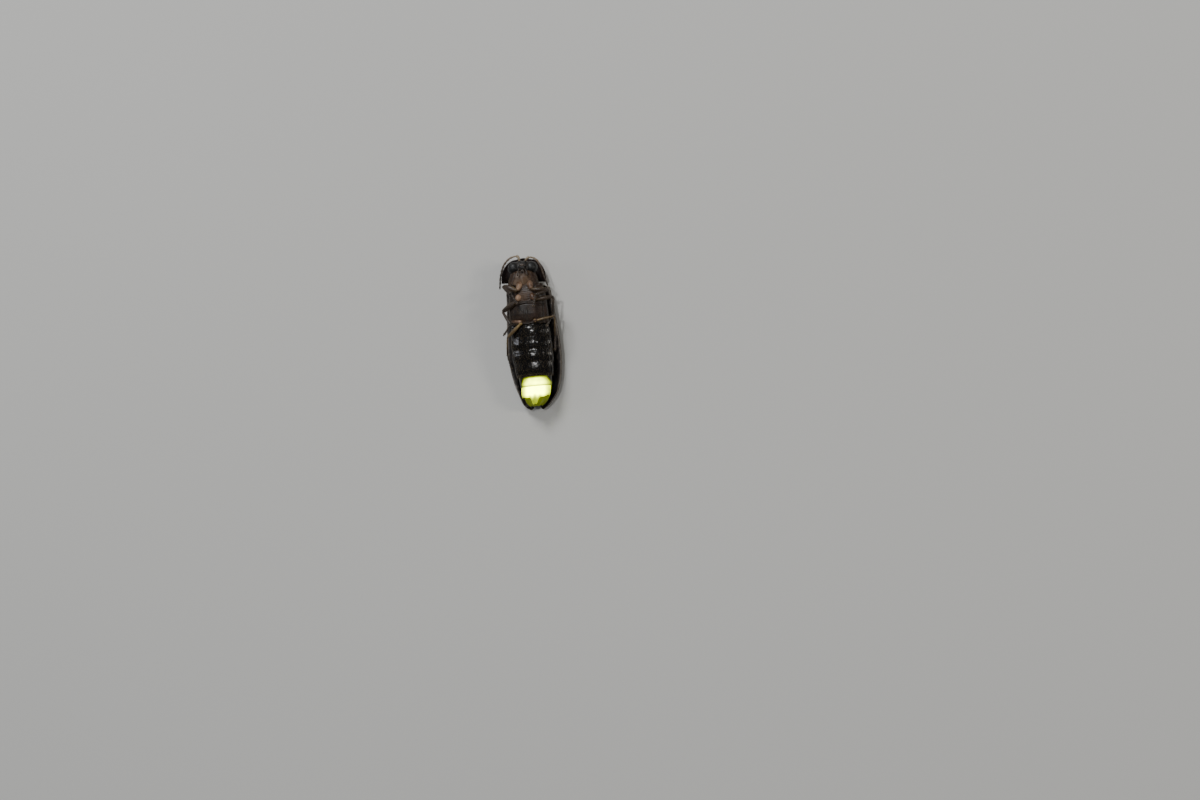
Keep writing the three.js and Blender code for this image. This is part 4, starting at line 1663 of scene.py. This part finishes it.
@dataclass(frozen=True)
class Leg:
    """A leg: hip, trochanter, thigh, shin with two spurs, and a foot of five joints with two claws."""

    pair: LegPair
    side: Side
    thigh_radii: tuple[float, ...] = (0.07, 0.12, 0.15, 0.125, 0.085)
    shin_radii: tuple[float, ...] = (0.05, 0.068, 0.075, 0.082, 0.09)
    link_radii: tuple[float, ...] = (0.1, 0.118, 0.07)
    foot_bounds: tuple[float, ...] = (0, 0.4, 0.65, 0.825, 1)
    foot_widths: tuple[float, ...] = (0.062, 0.066, 0.07, 0.074)
    last_radii: tuple[float, ...] = (0.02, 0.026, 0.036)
    lobe_radius: float = 0.036
    claw_radius: float = 0.02
    claw_bend: float = 0.07
    spur_radius: float = 0.013
    spur_length: float = 0.11
    spur_spread: float = 0.4
    rings: int = 72

    def joints(self) -> list[Array]:
        """The leg's joints: each length runs on at its yaw and pitch.

        Returns:
            Their places, from the hip to the claws.
        """
        places = [self.side.mirrored(self.pair.hip), self.side.mirrored(self.pair.trochanter)]
        stance = self.pair.left if self.side is Side.LEFT else self.pair.right
        for angles, length in zip((stance.thigh, stance.shin, stance.foot), self.pair.lengths):
            yaw, pitch = map(math.radians, angles)
            way = [math.cos(pitch) * math.cos(yaw), math.cos(pitch) * math.sin(yaw), math.sin(pitch)]
            places.append(places[-1] + self.side.mirrored(way) * length)
        return places

    def _limb(
        self, root: Array, tip: Array, radii: Sequence[float], bow: float, flatness: float, steps: int = rings
    ) -> Array:
        """A limb between two joints.

        Args:
            root: The first joint.
            tip: The second.
            radii: Radii at even steps between them, joined smoothly.
            bow: How far its middle rises.
            flatness: The section's half height as a share of its half width.
            steps: Rings.

        Returns:
            The rings, with a half ball at each end.
        """
        share = np.linspace(0, 1, steps)
        path = root + (tip - root) * share[:, None]
        path[:, 2] += bow * np.sin(np.pi * share)
        radius = np.interp(share, np.linspace(0, 1, len(radii)), radii)
        radius = np.convolve(np.pad(radius, 6, mode="edge"), np.ones(13) / 13, mode="valid")
        length = np.linalg.norm(tip - root)
        ends = rounded_ends(share, min(0.5, radii[0] / length), min(0.5, radii[-1] / length))
        return sweep(path, radius * ends, 32, flatness)

    def _hip(self, root: Array, tip: Array) -> Surface:
        """The hip: a cone with a ridge, a furrow for the thigh, a hollow on its inner side and wrinkles at its
        tip. It is dark at both ends, and painted shade darkens the furrow and the whole of the insect's left
        one.

        Args:
            root: The joint with the body.
            tip: The joint with the trochanter.

        Returns:
            Its skin.
        """
        rings = self._limb(root, tip, self.pair.hip_radii, 0.0, 0.9)
        share = np.linspace(0, 1, len(rings))[:, None]
        turn = np.linspace(-np.pi, np.pi, rings.shape[1], endpoint=False)
        furrow = hump(turn, 0.95 * self.side.value, 0.3) * ease(share, 0.1, 0.6)
        ridge = hump(turn, 0.3 * self.side.value, 0.2) * ease(share, 0.0, 0.4) * (1 - ease(share, 0.7, 0.95))
        inner = hump(turn, -0.8 * self.side.value, 0.4) * hump(share, 0.55, 0.3)
        wrinkles = np.sin(2 * np.pi * share / 0.1) * ease(share, 0.6, 0.8)
        uneven = ripple(rings, 0.3, 61) + 0.5 * ripple(rings, 0.13, 62)
        # Painted shade: the insect's left hip is painted darker, and the furrow is painted dark as shade in
        # it.
        pale = (0.8 if self.side is Side.RIGHT else 0.58) - 0.5 * max(self.pair.lightness, 0)
        tint = mix(0.25, pale, ease(share, -0.1, 0.5)) - 0.35 * furrow + 0.2 * uneven
        tint = tint - 0.25 * ease(share, 0.9, 1)
        relief = 0.035 * ridge - 0.06 * furrow - 0.03 * inner + 0.004 * wrinkles + 0.007 * uneven
        return Surface(rings, tint).raised(relief)

    def _foot(self, root: Array, tip: Array) -> list[Surface]:
        """Four widening joints, the fourth with two lobes, then a slender one with two hooked claws.

        Args:
            root: The ankle.
            tip: The end of the claws.

        Returns:
            The skins, the four joints' first.
        """
        way, across = bearings(root, tip)
        over = np.cross(across, way)
        length = np.linalg.norm(tip - root)
        path = root + (tip - root) * np.linspace(0, 0.8, 110)[:, None]
        parts = [Surface(beads(path, self.foot_bounds, self.foot_widths, 0.55, 0.04, 0.75), 0.3)]
        share = np.linspace(0, 1, 26)
        turn = np.linspace(0, 1.9, 26)[:, None]
        hook = self.claw_bend * (np.sin(turn) * way - (1 - np.cos(turn)) * over)
        for sign in (-1, 1):
            lobe = root + way * length * np.linspace(0.68, 0.87, 26)[:, None]
            lobe = lobe + across * sign * (0.02 + 0.04 * share[:, None])
            parts.append(Surface(sweep(lobe, self.lobe_radius * rounded_ends(share, 0.4, 0.4), 16, 0.6), 0.8))
            claw = tip - way * 0.1 + across * sign * (0.02 + 0.05 * share[:, None]) + hook
            radii = mix(self.claw_radius, 0.003, share) * rounded_ends(share)
            parts.append(Surface(sweep(claw, radii, 12), 0.5))
        last = self._limb(root + (tip - root) * 0.72, tip - way * 0.05, self.last_radii, 0.01, 1.0, 40)
        return [*parts, Surface(last, 0.35)]

    def _spurs(self, root: Array, tip: Array) -> list[Surface]:
        """The two thorns at the end of the shin.

        Args:
            root: The knee.
            tip: The ankle.

        Returns:
            Their skins.
        """
        way, across = bearings(root, tip)
        share = np.linspace(0, 1, 14)
        radii = self.spur_radius * np.maximum(1 - share, 0.06)
        spurs = []
        for sign in (-1, 1):
            start = tip - way * 0.04 + across * sign * 0.055
            path = start + (way + across * sign * self.spur_spread) * self.spur_length * share[:, None]
            spurs.append(Surface(sweep(path, radii, 8), 0.1))
        return spurs

    def build(self) -> list[Surface]:
        """Makes the leg's four pieces.

        Returns:
            The skins that grow hair: hip, thigh, shin and foot.
        """
        hip, trochanter, knee, ankle, claws = self.joints()
        where = f"{self.pair.name}_{self.side.word}"
        share = np.linspace(0, 1, self.rings)[:, None]
        light = self.pair.lightness
        coxa = self._hip(hip, trochanter)
        link = self._limb(mix(trochanter, hip, 0.06), mix(trochanter, knee, 0.19), self.link_radii, 0.0, 0.9)
        thigh_radii, shin_radii = (np.array(r) * self.pair.girth for r in (self.thigh_radii, self.shin_radii))
        thigh = self._limb(mix(trochanter, knee, 0.05), knee, thigh_radii, 0.03, 0.75)
        femur = Surface(thigh, mix(0.62, 0.3, ease(share, 0, 1)) - 0.2 * ease(share, 0.9, 1.0) + light)
        shin = self._limb(mix(knee, ankle, -0.01), ankle, shin_radii, 0.03, 0.85)
        tibia = Surface(shin, mix(0.42, 0.22, share) - 0.25 * ease(1 - share, 0.94, 1.0) + light)
        pieces = (
            ("hip", "coxa", Finish.HIP, [coxa]),
            ("thigh", "femur", Finish.LEG, [femur, Surface(link, 0.62 + light)]),
            ("shin", "tibia", Finish.LEG, [tibia, *self._spurs(knee, ankle)]),
            ("foot", "tarsus", Finish.FOOT, self._foot(ankle, claws)),
        )
        skins = []
        for name, node, finish, surfaces in pieces:
            placed = [surface.placed(LIE.body) for surface in surfaces]
            build_piece(f"{name}_{where}", placed, finish, [f"{node}_{where}"])
            skins.append(placed[0])
        return skins


def everywhere(place: Array, out: Array) -> Array:
    """The whole of a skin, as a region: it is told places and outward directions."""
    return np.ones(out.shape[:-1], bool)


def facing(limit: float) -> Region:
    """The region of a skin whose outward direction points up by more than a limit."""
    return lambda place, out: out[..., 2] > limit


@dataclass(frozen=True)
class Coat:
    """A coat of fine bristles: bent three-sided needles that lean along the rings' run, rooted on skins at
    random.

    On its own map each bristle is a small patch at its root's place, with the skins laid out side by side.
    """

    name: str
    length: float
    radius: float
    spacing: float
    lean: float = 25.0
    seed: int = 0
    sway: float = 0.22
    droop: float = 0.45
    stops: tuple[float, ...] = (0.0, 0.4, 0.75, 1.0)
    taper: tuple[float, ...] = (1.0, 0.85, 0.5, 0.06)
    patch: float = 0.003
    margin: float = 0.004
    spread: float = 0.99

    def _roots(self, skin: Surface, where: Region, rng: np.random.Generator) -> tuple[Array, ...]:
        """Picks roots evenly over the part of a skin that grows hair.

        Args:
            skin: The skin.
            where: Tells for places and outward directions whether hair grows there.
            rng: The random numbers.

        Returns:
            The roots, the outward directions, the run of the rings, and the place on the skin's map.
        """
        corner = skin.rings
        beside = np.roll(corner, -1, axis=1)
        run = corner[1:] - corner[:-1]
        step = beside[:-1] - corner[:-1]
        cross = np.cross(step, run)
        area = np.linalg.norm(cross, axis=-1)
        normal = unit(cross)
        weight = (area * where(corner[:-1], normal)).ravel()
        count = int(weight.sum() / self.spacing**2)
        picked = rng.choice(weight.size, count, p=weight / weight.sum())
        r, a = np.divmod(picked, corner.shape[1])
        shares = rng.uniform(0, 1, (2, count))
        root = corner[r, a] + run[r, a] * shares[0][:, None] + step[r, a] * shares[1][:, None]
        spot = np.stack([(a + shares[1]) / corner.shape[1], (r + shares[0]) / corner.shape[0]], -1)
        return root, normal[r, a], unit(run[r, a]), spot

    def _needles(self, root: Array, out: Array, run: Array, rng: np.random.Generator) -> Array:
        """Bends a needle over from each root along the run, with a sway, a lean and a length of its own, and
        keeps it above the floor.

        Args:
            root: The roots.
            out: The outward directions.
            run: The directions of the run.
            rng: The random numbers.

        Returns:
            The points, by needle, ring and corner.
        """
        side = unit(np.cross(out, run))
        sway = side * rng.normal(0, self.sway, (len(root), 1))
        lean = np.radians(self.lean * rng.uniform(0.6, 1.5, (len(root), 1)))
        length = self.length * rng.uniform(0.65, 1.2, (len(root), 1, 1))
        stop = np.array(self.stops)[:, None]
        lying = (unit(run + sway) * np.cos(lean))[:, None] * stop
        standing = (out * np.sin(lean))[:, None] * (stop - self.droop * stop**2)
        spine = root[:, None] + length * (lying + standing) - (out * self.radius)[:, None] * (1 - stop)
        spine[..., 2] = np.maximum(spine[..., 2], self.radius)
        turn = np.arange(3) * 2 * np.pi / 3
        flat = np.cos(turn)[:, None] * side[:, None] + np.sin(turn)[:, None] * out[:, None]
        width = self.radius * np.array(self.taper)
        return spine[:, :, None] + width[:, None, None] * flat[:, None]

    def _lay_map(self, mesh: bpy.types.Mesh, spot: Array) -> None:
        """Adds the coat's map to its mesh: a needle's ring is a row of its patch.

        Args:
            mesh: The mesh.
            spot: Each root's place on the map.
        """
        corner = np.zeros(len(mesh.loops), np.int32)
        mesh.loops.foreach_get("vertex_index", corner)
        rings = len(self.stops)
        column = np.tile([0, 0.5, 1], len(spot) * rings)
        within = np.stack([column, np.repeat(np.tile(self.stops, len(spot)), 3)], -1)
        places = self.margin + self.spread * np.repeat(spot, rings * 3, axis=0) + self.patch * within
        mesh.uv_layers.new(name="OFBake").data.foreach_set("uv", places[corner].astype(np.float32).ravel())

    def grow(self, skins: Sequence[Surface], where: Region = everywhere) -> None:
        """Makes the coat.

        Args:
            skins: The skins that it grows on.
            where: The region that it grows in.
        """
        rng = np.random.default_rng(self.seed)
        grown = [self._roots(skin, where, rng) for skin in skins]
        root, out, run = (np.concatenate([g[k] for g in grown]) for k in range(3))
        spot = np.concatenate([(g[3] + [k, 0]) / [len(skins), 1] for k, g in enumerate(grown)])
        points = self._needles(root, out, run, rng)
        number = np.arange(points[..., 0].size).reshape(points.shape[:3])
        mark = np.full(len(root), TRIANGLE)
        foot = np.stack([*number[:, 0, ::-1].T, mark], -1)
        tip = np.stack([*number[:, -1].T, mark], -1)
        mesh = make_mesh(self.name, points.reshape(-1, 3), np.concatenate([walls(number), foot, tip]))
        self._lay_map(mesh, spot)
        finish_piece(mesh, Finish.HAIR)


def stand(data: bpy.types.ID, axes: Sequence[Array], place: Sequence[float]) -> bpy.types.Object:
    """Puts a camera or a lamp into the scene.

    Args:
        data: The camera or the lamp.
        axes: Its directions to the right, up and back.
        place: Where it stands.

    Returns:
        Its object.
    """
    item = add_object(data)
    rows = [[*row, at * MM] for row, at in zip(np.stack(axes, -1), place)]
    item.matrix_world = Matrix([*rows, [0, 0, 0, 1]])
    return item


@dataclass(frozen=True)
class Viewpoint:
    """The photo's view: the camera looks down on the belly, a little from the insect's left."""

    lens: float = 100.0
    sensor: float = 36.0
    distance: float = 215.0
    lean: float = 11.0
    roll: float = 5.5
    picture: tuple[int, int] = (1200, 800)
    target: Point = (0.0, 0.0, 1.2)
    target_pixel: tuple[float, float] = (531.5, 331.0)
    clip: tuple[float, float] = (0.001, 50.0)

    def build(self) -> None:
        """Makes the camera: it stands back from the target along the lean, turned by the roll, and moved
        sideways until the target is on its pixel."""
        lean, roll = math.radians(self.lean), math.radians(self.roll)
        back = np.array([math.sin(lean), 0.0, math.cos(lean)])
        level_way = unit(np.cross([0, 1, 0], back))
        upright = np.cross(back, level_way)
        right = math.cos(roll) * level_way - math.sin(roll) * upright
        up = math.sin(roll) * level_way + math.cos(roll) * upright
        focal = self.picture[0] * self.lens / self.sensor
        off = (np.array(self.target_pixel) - np.array(self.picture) / 2) / focal * self.distance
        place = np.array(self.target) + self.distance * back - right * off[0] + up * off[1]
        data = bpy.data.cameras.new("photo_view")
        data.lens = self.lens
        data.sensor_width = self.sensor
        data.clip_start, data.clip_end = self.clip
        bpy.context.scene.camera = stand(data, (right, up, back), place)


@dataclass(frozen=True)
class Lamp:
    """A soft square lamp: where it stands and how wide it is in millimetres, its power and its colour."""

    name: str
    place: Point
    width: float
    power: float
    colour: str = "#ffffff"

    def build(self) -> None:
        """Makes the lamp, turned to the insect and hidden from the camera."""
        data = bpy.data.lights.new(self.name, "AREA")
        data.shape = "SQUARE"
        data.size = self.width * MM
        data.energy = self.power
        data.color = linear(self.colour)[:3]
        back = unit(np.array(self.place))
        right = unit(np.cross([0, 1, 0.001], back))
        stand(data, (right, np.cross(back, right), back), self.place).visible_camera = False


@dataclass(frozen=True)
class Studio:
    """A plain pale floor under soft light: a small and a wide lamp above, one on each side, a pale room."""

    floor_width: float = 4000.0
    floor_finish: Matte = Matte("painted_board", ("#dfdfdc", "#e7e7e4"), 0.75, 60.0)
    lamps: tuple[Lamp, ...] = (
        Lamp("small_lamp", (-25.0, 45.0, 260.0), 11.0, 0.11),
        Lamp("overhead_lamp", (-50.0, 205.0, 190.0), 80.0, 0.38),
        Lamp("left_lamp", (-230.0, 60.0, 125.0), 50.0, 0.045, "#f2f5ff"),
        Lamp("right_lamp", (220.0, 20.0, 150.0), 45.0, 0.12, "#fff8ee"),
    )
    room: str = "#e8ecef"
    room_strength: float = 0.115

    def build(self) -> None:
        """Makes the floor, the lamps and the room's light."""
        signs = np.array([[-1, -1, 0], [1, -1, 0], [1, 1, 0], [-1, 1, 0]])
        mesh = make_mesh("floor", signs * self.floor_width / 2, np.array([[0, 1, 2, 3]]))
        mesh.materials.append(self.floor_finish.material())
        add_object(mesh)
        for lamp in self.lamps:
            lamp.build()
        world = bpy.data.worlds.new("room")
        bpy.context.scene.world = world
        world.use_nodes = True
        background = world.node_tree.nodes["Background"]
        background.inputs["Color"].default_value = linear(self.room)
        background.inputs["Strength"].default_value = self.room_strength


def build_coats(
    cases: list[Surface], shield: Surface, trunk: list[Surface], head: list[Surface],
    limbs: list[list[Surface]], feelers: list[Surface],
) -> None:
    """Grows the hair of each part of the insect on the skins that the part's class returned.

    Args:
        cases: The wing cases.
        shield: The neck shield.
        trunk: The breast and the belly.
        head: The skull, the snout and the palps.
        limbs: Each leg's hip, thigh, shin and foot.
        feelers: The two feelers.
    """
    for side, skin in zip(Side, cases):
        Coat(f"case_down_{side.word}", 0.12, 0.003, 0.06, 14.0, 51).grow(
            [skin],
            lambda place, out: (out[..., 2] < 0.3) & ((out[..., 0] * side.value > 0) | (out[..., 2] < -0.4)),
        )
    Coat("shield_down", 0.1, 0.0028, 0.06, 20.0, 52).grow([shield], lambda place, out: out[..., 2] < 0.2)
    Coat("brim_down", 0.05, 0.002, 0.08, 20.0, 58).grow([shield], facing(0.2))
    Coat("belly_down", 0.1, 0.0026, 0.075, 18.0, 53).grow(trunk, facing(-0.2))
    Coat("belly_fringe", 0.13, 0.0035, 0.05, 16.0, 57).grow(
        [trunk[6]], lambda place, out: (out[..., 2] > 0.1) & (place[..., 1] < -2.7)
    )
    Coat("head_down", 0.07, 0.0022, 0.055, 40.0, 54).grow(head, facing(0.1))
    Coat("hip_down", 0.05, 0.0022, 0.06, 25.0, 59).grow([leg[0] for leg in limbs])
    Coat("leg_down", 0.085, 0.0026, 0.045, 30.0, 55).grow([skin for leg in limbs for skin in leg[1:]])
    Coat("feeler_down", 0.045, 0.0022, 0.032, 40.0, 56).grow(feelers)


def main() -> None:
    """Builds the view, the studio, the insect from its wing cases to its legs, and its hair."""
    Viewpoint().build()
    Studio().build()
    cases = [WingCase(side).build() for side in Side]
    for side in Side:
        HindWing(side).build()
    shield = NeckShield().build()
    Scutellum().build()
    SoftSkin().build()
    trunk = Breast().build() + Belly().build()
    head = Head().build()
    feelers = [Feeler(side).build() for side in Side]
    limbs = [Leg(pair, side).build() for pair in LEG_PAIRS for side in Side]
    build_coats(cases, shield, trunk, head, limbs, feelers)


if __name__ == "__main__":
    logging.basicConfig(level=logging.INFO, format="%(message)s")
    main()
